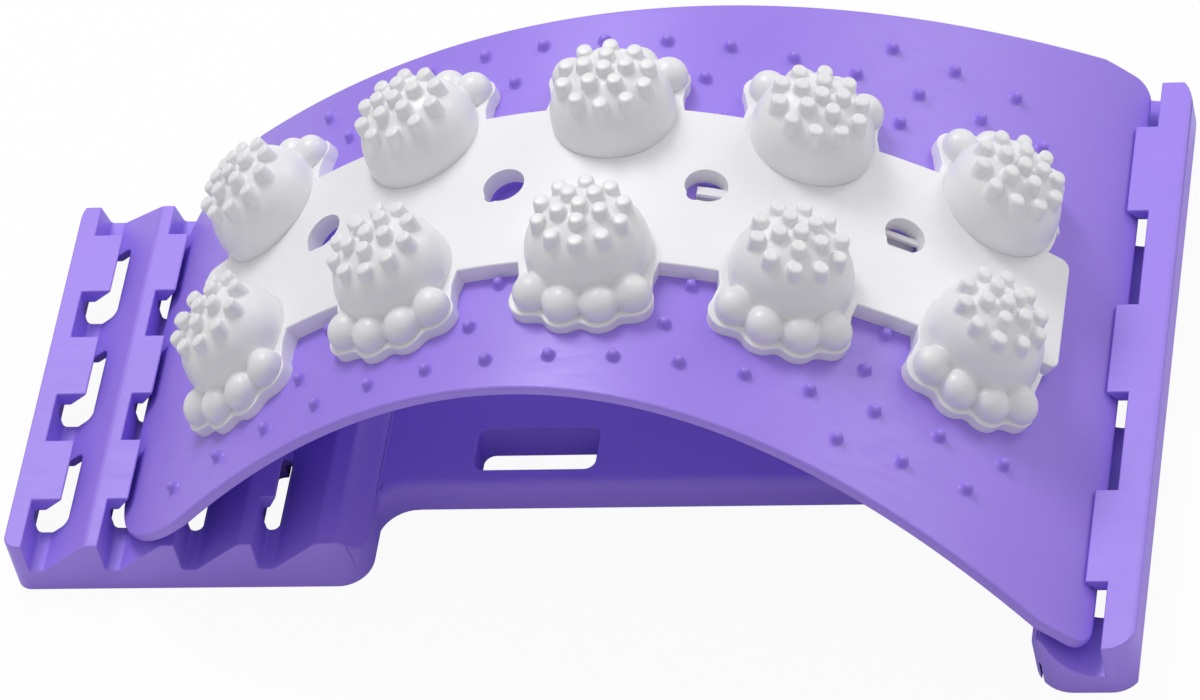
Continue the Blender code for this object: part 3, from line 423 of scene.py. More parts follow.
boolean(base, merge("cuts", cuts), "DIFFERENCE")

# Hollows of the underside between the ribs
cuts = []
for row, wall in enumerate(NARROW_WALLS):
    start = wall + RIB_TOE
    foot = wall + GROOVE_FLOOR_WIDTH + MM
    crest = wall + ROW_PITCH - CREST_WIDTH
    low = GROOVE_FLOOR - SKIN
    rise = BASE_HEIGHT - CREST_SKIN - low
    if row == GROOVE_ROWS - 1:
        stop = NARROW_IN - LAST_HOLLOW_MARGIN
        top = [(crest, low + rise), (stop, low + rise)]
    else:
        stop = wall + ROW_PITCH + NARROW_HOLES[row + 1][0] - HOLE_WALL
        top = [(stop, low + rise * min((stop - foot) / (crest - foot), 1.0))]
    outline = [(start, UNDER), (start, low), (foot, low)] + top + [(stop, UNDER)]
    for span in bays(NARROW_DEPTH / 2, WALL, (-NARROW_HOOK_SPACING / 2, NARROW_HOOK_SPACING / 2)):
        cuts.append(prism("hollow", outline, *span, axis="Y"))
outer = BEAM_WIDTH / 2 - WALL - BEAM_EDGE_RADIUS / 3
inner = SLOT_INNER - WALL
right_start = SLOT_SPAN[1] + WALL
right_bay = (WIDE_IN - right_start) / BEAM_BAYS
beam_spans = [(NARROW_IN + WALL, SLOT_SPAN[0] - WALL)]
for k in range(BEAM_BAYS):
    beam_spans.append((right_start + right_bay * k, right_start + right_bay * (k + 1) - WALL))
middle_bays = [(-inner, -WALL / 2), (WALL / 2, inner)]
for x0, x1 in beam_spans:
    for y0, y1 in [(-outer, -inner - WALL)] + middle_bays + [(inner + WALL, outer)]:
        cuts.append(prism("hollow", rectangle(x0, x1, y0, y1), UNDER, BEAM_HEIGHT - BEAM_SKIN))
for y0, y1 in middle_bays:
    cuts.append(prism("hollow", rectangle(*SLOT_SPAN, y0, y1), UNDER, BEAM_HEIGHT - BEAM_SKIN))
for y0, y1 in bays(WIDE_DEPTH / 2, 2 * WALL, (-WIDE_HOOK_SPACING / 2, WIDE_HOOK_SPACING / 2)):
    scoop_bay = rectangle(WIDE_IN + WALL, WIDE_WALL - WIDE_HOLE[1] - WALL, y0, y1)
    cuts.append(prism("hollow", scoop_bay, UNDER, WIDE_FLOOR + WIDE_HOLLOW_RISE))
    rail_bay = rectangle(WIDE_WALL - WIDE_HOLE[0] + WALL, HALF_LENGTH - WIDE_END_WALL, y0, y1)
    cuts.append(prism("hollow", rail_bay, UNDER, BASE_HEIGHT - SKIN))
boolean(base, merge("cuts", cuts), "DIFFERENCE")
clean(base)


def soften(target, width, steps=2, smooth_angle=30.0):
    """Rounds the sharp edges and keeps the flat faces flat in the shading."""
    target.data.shade_smooth()
    rounding = target.modifiers.new("rounding", "BEVEL")
    rounding.width = width
    rounding.segments = steps
    rounding.limit_method = "ANGLE"
    rounding.angle_limit = radians(smooth_angle)
    rounding.use_clamp_overlap = False
    normals = target.modifiers.new("normals", "WEIGHTED_NORMAL")
    normals.weight = 80
    normals.keep_sharp = True


soften(base, EDGE_ROUNDING)


def shader_tree(name):
    """An empty material with its Principled shader wired to the output."""
    made = bpy.data.materials.new(name)
    made.use_nodes = True
    return made, made.node_tree.nodes, made.node_tree.links, made.node_tree.nodes["Principled BSDF"]


def moulded_skin_group():
    """The skin of a satin moulding: cloudy colour, fine spark texture and faint rubbing."""
    group = bpy.data.node_groups.new("moulded_skin", "ShaderNodeTree")
    inputs = [("Colour", "Color"), ("Cloud Colour", "Color")]
    inputs += [("Roughness", "Float"), ("Grain Size", "Float")]
    for name, kind in inputs:
        group.interface.new_socket(name=name, in_out="INPUT", socket_type="NodeSocket" + kind)
    for name, kind in (("Colour", "Color"), ("Roughness", "Float"), ("Height", "Float")):
        group.interface.new_socket(name=name, in_out="OUTPUT", socket_type="NodeSocket" + kind)
    nodes = group.nodes
    links = group.links
    inside = nodes.new("NodeGroupInput")
    outside = nodes.new("NodeGroupOutput")
    place = nodes.new("ShaderNodeTexCoord")

    cloud = nodes.new("ShaderNodeTexNoise")
    cloud.inputs["Scale"].default_value = 38.0
    cloud.inputs["Detail"].default_value = 4.0
    links.new(place.outputs["Object"], cloud.inputs["Vector"])
    cloud_mask = nodes.new("ShaderNodeMapRange")
    cloud_mask.inputs["From Min"].default_value = 0.35
    cloud_mask.inputs["From Max"].default_value = 0.68
    links.new(cloud.outputs["Fac"], cloud_mask.inputs["Value"])
    tint = nodes.new("ShaderNodeMix")
    tint.data_type = "RGBA"
    links.new(cloud_mask.outputs["Result"], tint.inputs["Factor"])
    links.new(inside.outputs["Colour"], tint.inputs["A"])
    links.new(inside.outputs["Cloud Colour"], tint.inputs["B"])
    links.new(tint.outputs["Result"], outside.inputs["Colour"])

    grain = nodes.new("ShaderNodeTexNoise")
    grain.inputs["Detail"].default_value = 3.0
    links.new(place.outputs["Object"], grain.inputs["Vector"])
    links.new(inside.outputs["Grain Size"], grain.inputs["Scale"])
    links.new(grain.outputs["Fac"], outside.inputs["Height"])

    stretch = nodes.new("ShaderNodeMapping")
    stretch.inputs["Rotation"].default_value = (0.2, 0.1, 0.6)
    stretch.inputs["Scale"].default_value = (60.0, 420.0, 160.0)
    links.new(place.outputs["Object"], stretch.inputs["Vector"])
    rub = nodes.new("ShaderNodeTexNoise")
    rub.inputs["Scale"].default_value = 1.0
    rub.inputs["Detail"].default_value = 5.0
    links.new(stretch.outputs["Vector"], rub.inputs["Vector"])
    rub_mask = nodes.new("ShaderNodeMapRange")
    rub_mask.inputs["From Min"].default_value = 0.45
    rub_mask.inputs["From Max"].default_value = 0.75
    rub_mask.inputs["To Min"].default_value = -0.03
    rub_mask.inputs["To Max"].default_value = 0.09
    links.new(rub.outputs["Fac"], rub_mask.inputs["Value"])
    total = nodes.new("ShaderNodeMath")
    total.operation = "ADD"
    links.new(inside.outputs["Roughness"], total.inputs[0])
    links.new(rub_mask.outputs["Result"], total.inputs[1])
    links.new(total.outputs["Value"], outside.inputs["Roughness"])
    return group


moulded_skin = moulded_skin_group()
GRAIN_SIZE = 1900.0
GRAIN_STRENGTH = 0.35


def moulded_plastic(name, colour, cloud_colour, roughness, grain_depth):
    """Satin plastic in one colour, with the shared skin and its grain as a bump."""
    made, nodes, links, shader = shader_tree(name)
    skin = nodes.new("ShaderNodeGroup")
    skin.node_tree = moulded_skin
    skin.inputs["Colour"].default_value = (*colour, 1.0)
    skin.inputs["Cloud Colour"].default_value = (*cloud_colour, 1.0)
    skin.inputs["Roughness"].default_value = roughness
    skin.inputs["Grain Size"].default_value = GRAIN_SIZE
    bump = nodes.new("ShaderNodeBump")
    bump.inputs["Strength"].default_value = GRAIN_STRENGTH
    bump.inputs["Distance"].default_value = grain_depth
    links.new(skin.outputs["Colour"], shader.inputs["Base Color"])
    links.new(skin.outputs["Roughness"], shader.inputs["Roughness"])
    links.new(skin.outputs["Height"], bump.inputs["Height"])
    links.new(bump.outputs["Normal"], shader.inputs["Normal"])
    shader.inputs["Specular IOR Level"].default_value = 0.5
    shader.inputs["IOR"].default_value = 1.5
    made.diffuse_color = (*colour, 1.0)
    return made


base_plastic = moulded_plastic(
    "purple_base_plastic",
    colour=(0.355, 0.228, 0.87),
    cloud_colour=(0.345, 0.221, 0.85),
    roughness=0.40,
    grain_depth=0.05 * MM,
)
base.data.materials.clear()
base.data.materials.append(base_plastic)
low_corner, high_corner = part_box("base_frame")
CAD_SHIFT = Vector(((low_corner.x + high_corner.x) / 2, low_corner.y + WIDE_DEPTH / 2, low_corner.z))


def seat(piece, body, nodes):
    """Puts a finished piece on its body, in place of its CAD nodes."""
    piece.location = piece.location + CAD_SHIFT
    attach(piece, body)
    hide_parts(*nodes)


seat(base, "base", ["base_frame"])


# Panel
# A 4 mm sheet of flexible purple plastic, moulded flat with small studs on its upper face.
# Sprung into an arch between the second groove row and the wide plate's groove, it stands
# under its own tension. Holes for the heads' stems go through it.

PANEL_THICKNESS = 4.0 * MM
PANEL_RIM = 1.1 * MM
FREE_END_GAP = 2.2 * MM
FIXED_END_GAP = 3.6 * MM
ARCH_LEFT = NARROW_WALLS[1] + FREE_END_GAP
ARCH_RIGHT = WIDE_WALL - FIXED_END_GAP
ARCH_MIDDLE = (ARCH_LEFT + ARCH_RIGHT) / 2
ARCH_HALF_SPAN = (ARCH_RIGHT - ARCH_LEFT) / 2
ARCH_END = 14.8 * MM
ARCH_TILT = 1.8 * MM
ARCH_CROWN = 101.5 * MM
ARCH_RISE = ARCH_CROWN - ARCH_END
STRIP_CENTRE_X = 17.8 * MM

# Half widths of the panel: it is narrowest at the waist and widens from there with the
# square of the distance, times the flare, which is per metre
FREE_HALF_WIDTH = 85.0 * MM
FIXED_HALF_WIDTH = 121.2 * MM
WAIST_HALF_WIDTH = 78.7 * MM
WAIST_X = -45.0 * MM
WAIST_FLARE = 1.0
FREE_CORNER_LENGTH = 44.0 * MM
FREE_CORNER_WIDTH = 36.0 * MM
FIXED_CORNER = 8.0 * MM


def arch_height(x):
    """Height of the panel's upper face: the parabola that a flexed sheet takes."""
    share = (x - ARCH_MIDDLE) / ARCH_HALF_SPAN
    return ARCH_END + ARCH_TILT * share + ARCH_RISE * (1 - share * share)


def arch_slope(x):
    share = (x - ARCH_MIDDLE) / ARCH_HALF_SPAN
    return (ARCH_TILT - 2 * ARCH_RISE * share) / ARCH_HALF_SPAN


def arch_table(steps=1500):
    """Arc length against x, measured from the middle of the massage strip."""
    table = []
    total = 0.0
    width = (ARCH_RIGHT - ARCH_LEFT) / steps
    for k in range(steps + 1):
        x = ARCH_LEFT + width * k
        table.append((total, x))
        total += hypot(1.0, arch_slope(x + width / 2)) * width
    zero = min(table, key=lambda row: abs(row[1] - STRIP_CENTRE_X))[0]
    return [(arc - zero, x) for arc, x in table]


ARCH_TABLE = arch_table()
ARC_LEFT = ARCH_TABLE[0][0]
ARC_RIGHT = ARCH_TABLE[-1][0]


def between(value, column):
    """The other column's value at a place in the arch table."""
    low = 0
    high = len(ARCH_TABLE) - 1
    while high - low > 1:
        middle = (low + high) // 2
        if ARCH_TABLE[middle][column] <= value:
            low = middle
        else:
            high = middle
    other = 1 - column
    share = (value - ARCH_TABLE[low][column]) / (ARCH_TABLE[high][column] - ARCH_TABLE[low][column])
    return ARCH_TABLE[low][other] + (ARCH_TABLE[high][other] - ARCH_TABLE[low][other]) * share


def x_at(arc):
    return between(arc, 0)


def arc_at(x):
    return between(x, 1)


def arch_frame(arc, across, lift):
    """Matrix at a place on the arch: local X along it, local Z out of it."""
    x = x_at(arc)
    slope = arch_slope(x)
    size = hypot(1.0, slope)
    along = Vector((1 / size, 0.0, slope / size))
    out = Vector((-slope / size, 0.0, 1 / size))
    made = Matrix((along, Vector((0.0, 1.0, 0.0)), out)).transposed().to_4x4()
    made.translation = Vector((x, across, arch_height(x))) + out * lift
    return made


def cut_across(shape, place, normal):
    """Adds a line of points where a plane crosses a shape."""
    everything = list(shape.verts) + list(shape.edges) + list(shape.faces)
    bmesh.ops.bisect_plane(shape, geom=everything, dist=0.01 * MM, plane_co=place, plane_no=normal)


def cut_in_steps(shape, axis, step):
    """Adds a line of points at every step along an axis, so that a flat shape can bend."""
    values = [vert.co[axis] for vert in shape.verts]
    normal = [0.0, 0.0, 0.0]
    normal[axis] = 1.0
    for k in range(ceil(min(values) / step), ceil(max(values) / step)):
        place = [value * k * step for value in normal]
        cut_across(shape, place, normal)


def bend(target, along_step=2.5 * MM, across_step=8.0 * MM):
    """Wraps a shape drawn flat, as (arc, across, lift), over the arch."""
    shape = bmesh.new()
    shape.from_mesh(target.data)
    bmesh.ops.triangulate(shape, faces=shape.faces)
    cut_in_steps(shape, 1, across_step)
    cut_in_steps(shape, 0, along_step)
    for vert in shape.verts:
        arc, across, lift = vert.co
        vert.co = arch_frame(arc, across, lift).translation
    shape.to_mesh(target.data)
    shape.free()


def round_rims(target, width, steps, faces_up=(1, -1)):
    """Rounds the edges where the upper or lower face of a flat shape meets its sides."""
    shape = bmesh.new()
    shape.from_mesh(target.data)
    bmesh.ops.dissolve_limit(shape, angle_limit=radians(0.3), verts=shape.verts, edges=shape.edges)
    chosen = []
    for edge in shape.edges:
        if len(edge.link_faces) != 2:
            continue
        heights = sorted(face.normal.z for face in edge.link_faces)
        if abs(heights[0]) < 0.2 and heights[1] > 0.9 and 1 in faces_up:
            chosen.append(edge)
        if abs(heights[1]) < 0.2 and heights[0] < -0.9 and -1 in faces_up:
            chosen.append(edge)
    bmesh.ops.bevel(
        shape,
        geom=chosen,
        offset=width,
        segments=steps,
        profile=0.5,
        affect="EDGES",
        clamp_overlap=False,
    )
    shape.to_mesh(target.data)
    shape.free()


def panel_half_width(x):
    """Half width of the panel: a shallow waist that flares to the wide end."""
    limit = FIXED_HALF_WIDTH if x > WAIST_X else FREE_HALF_WIDTH
    return min(WAIST_HALF_WIDTH + WAIST_FLARE * (x - WAIST_X) ** 2, limit)


def panel_outline():
    """The panel laid flat, with wide corners at the free end and small ones at the fixed end."""
    edge = []
    for k in range(21):
        turn = pi / 2 * k / 20
        arc = ARC_LEFT + FREE_CORNER_LENGTH * (1 - cos(turn))
        edge.append((arc, panel_half_width(x_at(arc)) - FREE_CORNER_WIDTH * (1 - sin(turn))))
    start = ARC_LEFT + FREE_CORNER_LENGTH
    stop = ARC_RIGHT - FIXED_CORNER
    for k in range(1, 81):
        arc = start + (stop - start) * k / 80
        edge.append((arc, panel_half_width(x_at(arc))))
    for k in range(1, 9):
        turn = pi / 2 * k / 8
        arc = stop + FIXED_CORNER * sin(turn)
        edge.append((arc, panel_half_width(x_at(arc)) - FIXED_CORNER * (1 - cos(turn))))
    return edge + [(arc, -half) for arc, half in reversed(edge)]


def turned(name, profile, sides):
    """A solid of revolution about Z through (radius, height) points from the foot up."""
    turns = [2 * pi * k / sides for k in range(sides)]
    rings = []
    for radius, level in profile:
        rings.append([(radius * cos(turn), radius * sin(turn), level) for turn in turns])
    return stacked(name, rings)


# Heads and windows by arc length along the panel, from the middle of the strip. Each head
# stands a little off the even pitch, and the first window sits apart from the others.
HEADS_PER_SIDE = 5
HEAD_PITCH = 64.4 * MM
HEAD_OFFSET = 30.0 * MM
HEAD_SHIFTS = (-2.2 * MM, -0.6 * MM, -0.4 * MM, -2.0 * MM, -1.6 * MM)
HEAD_ARCS = [(k - 2) * HEAD_PITCH + shift for k, shift in enumerate(HEAD_SHIFTS)]
WINDOW_OFFSET = 1.6 * MM
FIRST_WINDOW_SHIFT = -4.0 * MM
FIRST_WINDOW_OFFSET = 4.9 * MM
WINDOW_PLACES = [((k - 1.5) * HEAD_PITCH, WINDOW_OFFSET) for k in range(HEADS_PER_SIDE - 1)]
WINDOW_PLACES[0] = (WINDOW_PLACES[0][0] + FIRST_WINDOW_SHIFT, FIRST_WINDOW_OFFSET)
RECESS_RADIUS = 6.9 * MM
RECESS_DEPTH = 3.2 * MM
CLIP_LENGTHS = (9.6 * MM, 13.0 * MM)
CLIP_RIGHT = 6.5 * MM
CLIP_HALF_WIDTH = 6.0 * MM
CLIP_CORNER = 0.8 * MM
STEM_HOLE_RADIUS = 4.9 * MM

panel = prism("flexed_panel", panel_outline(), -PANEL_THICKNESS, 0.0)
round_rims(panel, PANEL_RIM, 4)

# Cut-outs for clips under the last two windows, recesses under the first two, stem holes
holes = []
for (arc, across), length in zip(WINDOW_PLACES[2:], CLIP_LENGTHS):
    right = arc + CLIP_RIGHT
    near = across - CLIP_HALF_WIDTH
    far = across + CLIP_HALF_WIDTH
    outline = rectangle(right - length, right, near, far, CLIP_CORNER)
    holes.append(prism("hole", outline, -2 * PANEL_THICKNESS, PANEL_THICKNESS))
for arc, across in WINDOW_PLACES[:2]:
    recess = turned("recess", [(RECESS_RADIUS, -RECESS_DEPTH), (RECESS_RADIUS, PANEL_THICKNESS)], 48)
    recess.data.transform(Matrix.Translation((arc, across, 0.0)))
    holes.append(recess)
stem_hole = [(STEM_HOLE_RADIUS, -2 * PANEL_THICKNESS), (STEM_HOLE_RADIUS, PANEL_THICKNESS)]
for arc in HEAD_ARCS:
    for side in (-1, 1):
        hole = turned("hole", stem_hole, 24)
        hole.data.transform(Matrix.Translation((arc, side * HEAD_OFFSET, 0.0)))
        holes.append(hole)
boolean(panel, merge("holes", holes), "DIFFERENCE")
bend(panel)

# Studs: rows by distance from the centre line, as (distance, middle x, pitch, first, last, step)
STUD_ROWS = (
    (68.0 * MM, 8.5 * MM, 21.0 * MM, -7, 7, 1),
    (83.8 * MM, 8.5 * MM, 21.0 * MM, 4.5, 6.5, 1),
    (53.0 * MM, 11.7 * MM, 21.45 * MM, -4.5, 4.5, 3),
    (36.2 * MM, 8.5 * MM, 21.0 * MM, -4, 5, 3),
)
STUD_CLOSING = 0.2 * MM
STUD_PROFILE = [
    (2.9 * MM, -0.3 * MM),
    (2.6 * MM, 0.05 * MM),
    (2.25 * MM, 0.3 * MM),
    (2.0 * MM, 0.8 * MM),
    (1.75 * MM, 1.6 * MM),
    (1.55 * MM, 2.2 * MM),
    (1.2 * MM, 2.65 * MM),
    (0.7 * MM, 2.92 * MM),
    (0.25 * MM, 3.0 * MM),
]
studs = []
for across, middle, pitch, first, last, step in STUD_ROWS:
    k = first
    while k <= last:
        arc = arc_at(middle + pitch * k - STUD_CLOSING * k * abs(k))
        for side in (-1, 1):
            stud = turned("stud", STUD_PROFILE, 16)
            stud.data.transform(arch_frame(arc, side * across, 0.0))
            studs.append(stud)
        k += step
panel_studs = merge("panel_studs", studs)


def smooth(target, angle=40.0, weight=60):
    """Smooth shading in which broad faces keep their own direction."""
    target.data.shade_smooth()
    target.data.set_sharp_from_angle(angle=radians(angle))
    normals = target.modifiers.new("normals", "WEIGHTED_NORMAL")
    normals.weight = weight
    normals.keep_sharp = True


panel_plastic = moulded_plastic(
    "purple_panel_plastic",
    colour=(0.345, 0.22, 0.835),
    cloud_colour=(0.336, 0.213, 0.82),
    roughness=0.38,
    grain_depth=0.04 * MM,
)
for piece in (panel, panel_studs):
    smooth(piece)
    piece.data.materials.clear()
    piece.data.materials.append(panel_plastic)
    seat(piece, "arch", ["arch_board"])


# Massage strip
# A raised white moulding along the crown, with a cloud-shaped tab under each head, a
# narrower tongue at each end and four round windows near the centre line. The heads'
# stems clamp it to the panel.

STRIP_HALF_WIDTH = 33.0 * MM
STRIP_TOP = 6.3 * MM
STRIP_RIM = 0.55 * MM
TONGUE_ENDS = (-161.5 * MM, 155.0 * MM)
TONGUE_NEAR = -25.5 * MM
TONGUE_FAR = 20.5 * MM
TONGUE_CORNER = 3.5 * MM
WINDOW_RADIUS = 6.8 * MM
NOTCH_RADIUS = 2.6 * MM
NOTCH_PLACE = (-3.2 * MM, -4.2 * MM)

# Length and width of a head's dome from its middle, the strip's rim round the end heads
# and the fine seam cut round every dome
DOME_LENGTH = 20.5 * MM
DOME_WIDTH = 19.8 * MM
DOME_RIM = 1.1 * MM
SEAM_GAP = 0.1 * MM
SEAM_DEPTH = 0.2 * MM

# One tab, as (along, outward) from the middle of its head: the neck, then four scallops
# whose outline is measured round a middle point, the eye, and eased over its neighbours
TAB_NECK = ((-22.8 * MM, 0.0), (22.8 * MM, 0.0), (21.0 * MM, 8.0 * MM), (-21.4 * MM, 8.0 * MM))
TAB_EYE = 9.0 * MM
SCALLOP_RADIUS = 7.0 * MM
SCALLOP_PLACES = (
    (-16.9 * MM, 17.2 * MM),
    (-5.8 * MM, 22.0 * MM),
    (5.6 * MM, 22.0 * MM),
    (15.4 * MM, 17.2 * MM),
)
SCALLOP_SWEEP = (-10, 190)
SCALLOP_STEPS = 72
SCALLOP_EASE = 2
TAB_SLOPE_START = STRIP_HALF_WIDTH + 1.5 * MM
TAB_SLOPE_END = 58.8 * MM
TAB_DROP = 3.1 * MM


def circle(x, y, radius, sides=48):
    turns = [2 * pi * k / sides for k in range(sides)]
    return [(x + radius * cos(turn), y + radius * sin(turn)) for turn in turns]


def cloud_outline():
    """Outline of a tab: a neck that widens into four shallow scallops."""
    first, last = SCALLOP_SWEEP
    reaches = []
    for step in range(SCALLOP_STEPS + 1):
        turn = radians(first + (last - first) * step / SCALLOP_STEPS)
        hits = []
        for along, outward in SCALLOP_PLACES:
            rise = outward - TAB_EYE
            middle = along * cos(turn) + rise * sin(turn)
            inside = SCALLOP_RADIUS ** 2 - along ** 2 - rise ** 2 + middle ** 2
            if inside > 0:
                hits.append(middle + sqrt(inside))
        reaches.append((turn, max(hits, default=0.0)))
    points = list(TAB_NECK[:3])
    for step in range(SCALLOP_EASE, SCALLOP_STEPS + 1 - SCALLOP_EASE):
        neighbours = reaches[step - SCALLOP_EASE:step + SCALLOP_EASE + 1]
        near = [reach for turn, reach in neighbours if reach > 0]
        if len(near) < len(neighbours):
            continue
        turn = reaches[step][0]
        reach = sum(near) / len(near)
        points.append((reach * cos(turn), TAB_EYE + reach * sin(turn)))
    return points + [TAB_NECK[3]]


def slope_tabs(target):
    """Lets the upper face of the tabs fall away outward."""
    shape = bmesh.new()
    shape.from_mesh(target.data)
    bmesh.ops.triangulate(shape, faces=shape.faces)
    for side in (-1, 1):
        cut_across(shape, (0, side * TAB_SLOPE_START, 0), (0, 1, 0))
    for vert in shape.verts:
        share = max((abs(vert.co.y) - TAB_SLOPE_START) / (TAB_SLOPE_END - TAB_SLOPE_START), 0.0)
        vert.co.z -= TAB_DROP * share * max(vert.co.z, 0.0) / STRIP_TOP
    shape.to_mesh(target.data)
    shape.free()


outline = rectangle(HEAD_ARCS[0], HEAD_ARCS[-1], -STRIP_HALF_WIDTH, STRIP_HALF_WIDTH)
strip = prism("white_strip", outline, 0.0, STRIP_TOP)
for low, high in ((TONGUE_ENDS[0], HEAD_ARCS[0] + MM), (HEAD_ARCS[-1] - MM, TONGUE_ENDS[1])):
    outline = rectangle(low, high, TONGUE_NEAR, TONGUE_FAR, TONGUE_CORNER, 8)
    boolean(strip, prism("tongue", outline, 0.0, STRIP_TOP), "UNION")
for arc in (HEAD_ARCS[0], HEAD_ARCS[-1]):
    for side in (-1, 1):
        outline = circle(arc, side * HEAD_OFFSET, DOME_LENGTH + DOME_RIM, 72)
        boolean(strip, prism("rim", outline, 0.0, STRIP_TOP), "UNION")
for arc in HEAD_ARCS:
    for side in (-1, 1):
        centre = side * HEAD_OFFSET
        outline = [(arc + x, centre + side * y) for x, y in cloud_outline()]
        boolean(strip, prism("tab", outline, 0.0, STRIP_TOP), "UNION")
round_rims(strip, STRIP_RIM, 3, faces_up=(1,))

# Windows with their notches, and the seams round the domes
cuts = []
for arc, across in WINDOW_PLACES:
    window = prism("window", circle(arc, across, WINDOW_RADIUS), -STRIP_TOP, 2 * STRIP_TOP)
    notch = circle(arc + NOTCH_PLACE[0], across + NOTCH_PLACE[1], NOTCH_RADIUS, 24)
    boolean(window, prism("notch", notch, STRIP_TOP / 2, 2 * STRIP_TOP), "UNION")
    cuts.append(window)
length = DOME_LENGTH + SEAM_GAP
width = DOME_WIDTH + SEAM_GAP
for arc in HEAD_ARCS:
    for side in (-1, 1):
        seam = circle(0.0, 0.0, 1.0, 96)
        outline = [(arc + x * length, side * HEAD_OFFSET + y * width) for x, y in seam]
        cuts.append(prism("seam", outline, STRIP_TOP - SEAM_DEPTH, 2 * STRIP_TOP))
boolean(strip, merge("cuts", cuts), "DIFFERENCE")
slope_tabs(strip)
bend(strip)

# Clips in the last two windows, with their bars as (offset, width): each clip hangs in a
# cut-out of the panel, with a little play, and a thin plate closes it underneath
CLIP_BARS = (((1.7 * MM, 3.6 * MM),), ((3.1 * MM, 2.2 * MM), (-2.9 * MM, 2.6 * MM)))
CLIP_PLAY = 0.1 * MM
BAR_REACH = 7.0 * MM
BAR_THICKNESS = 1.7 * MM
BAR_RIM = 0.4 * MM
PLATE_LEVELS = (0.2 * MM - PANEL_THICKNESS, 1.0 * MM - PANEL_THICKNESS)
clips = []
for (arc, across), length, bars in zip(WINDOW_PLACES[2:], CLIP_LENGTHS, CLIP_BARS):
    right = arc + CLIP_RIGHT - CLIP_PLAY
    left = arc + CLIP_RIGHT - length + CLIP_PLAY
    reach = CLIP_HALF_WIDTH - CLIP_PLAY
    for offset, width in bars:
        middle = across + offset
        outline = rectangle(left, arc + BAR_REACH, middle - width / 2, middle + width / 2)
        clip = prism("bar", outline, 0.0, BAR_THICKNESS)
        round_rims(clip, BAR_RIM, 3)
        clips.append(clip)
    outline = rectangle(left, right, across - reach, across + reach, CLIP_CORNER)
    clips.append(prism("plate", outline, *PLATE_LEVELS))
window_clips = merge("window_clips", clips)
bend(window_clips)

strip_plastic = moulded_plastic(
    "white_strip_plastic",
    colour=(0.87, 0.86, 0.89),
    cloud_colour=(0.85, 0.84, 0.87),
    roughness=0.36,
    grain_depth=0.03 * MM,
)
for piece in (strip, window_clips):
    smooth(piece)
    piece.data.materials.clear()
    piece.data.materials.append(strip_plastic)
    seat(piece, "arch", ["massage_strip"])


# Massage heads
# Ten white domes, each with sixteen blunt pegs and a chain of four balls on its outer side,
# all but the middle ones leaning towards the crown. Each is one moulding, whose snap stem
# goes through the strip and the panel.

DOME_HEIGHT = 20.6 * MM
DOME_FULLNESS = 2.3
DOME_FOOT = -5.0 * MM
HEAD_LEANS = (11.0, 5.5, 0.0, -5.0, -8.5)

# Oval rings of pegs, as (reach along, reach across, height of the tips, count), and the
# shape of one peg from its foot up, as (radius, distance below the tip)
PEG_RINGS = (
    (0.0, 0.0, 24.0 * MM, 1),
    (7.2 * MM, 6.5 * MM, 23.3 * MM, 5),
    (14.0 * MM, 12.8 * MM, 20.0 * MM, 10),
)
PEG_INSET = 0.6 * MM
PEG_PROFILE = (
    (3.0 * MM, 10.0 * MM),
    (2.8 * MM, 4.0 * MM),
    (2.65 * MM, 1.0 * MM),
    (2.5 * MM, 0.45 * MM),
    (2.1 * MM, 0.1 * MM),
    (1.4 * MM, 0.0),
)
BALL_RADIUS = 6.5 * MM
BALL_PLACES = (
    (-16.2 * MM, 16.7 * MM),
    (-5.8 * MM, 21.3 * MM),
    (5.8 * MM, 21.3 * MM),
    (15.9 * MM, 16.9 * MM),
)
BALL_RISE = -0.9 * MM
BALL_SWEEP = (-40, 88)
BALL_FOOT = -5.2 * MM
BALL_FOOT_SHARE = 0.75
WEB_SHARE = 0.93
WEB_TOP = 2.4 * MM
MELT_GRAIN = 0.42 * MM

# The snap stem from its barb up, as (radius, height)
STEM_PROFILE = (
    (3.1 * MM, -13.6 * MM),
    (4.4 * MM, -12.9 * MM),
    (5.5 * MM, -11.8 * MM),
    (5.6 * MM, -11.4 * MM),
    (5.4 * MM, -11.2 * MM),
    (3.9 * MM, -11.2 * MM),
    (3.9 * MM, -4.0 * MM),
)


def peg(x, y, tip):
    """A blunt peg that stands along the head's axis, wherever it leaves the dome."""
    made = turned("peg", [(radius, tip - below) for radius, below in PEG_PROFILE], 20)
    made.data.transform(Matrix.Translation((x, y, 0.0)))
    return made


def ball(x, y):
    """A ball on a slightly narrower foot."""
    low, high = BALL_SWEEP
    profile = [(BALL_RADIUS * BALL_FOOT_SHARE, BALL_FOOT)]
    for k in range(14):
        turn = radians(low + (high - low) * k / 13)
        profile.append((BALL_RADIUS * cos(turn), BALL_RISE + BALL_RADIUS * sin(turn)))
    made = turned("ball", profile, 32)
    made.data.transform(Matrix.Translation((x, y, 0.0)))
    return made


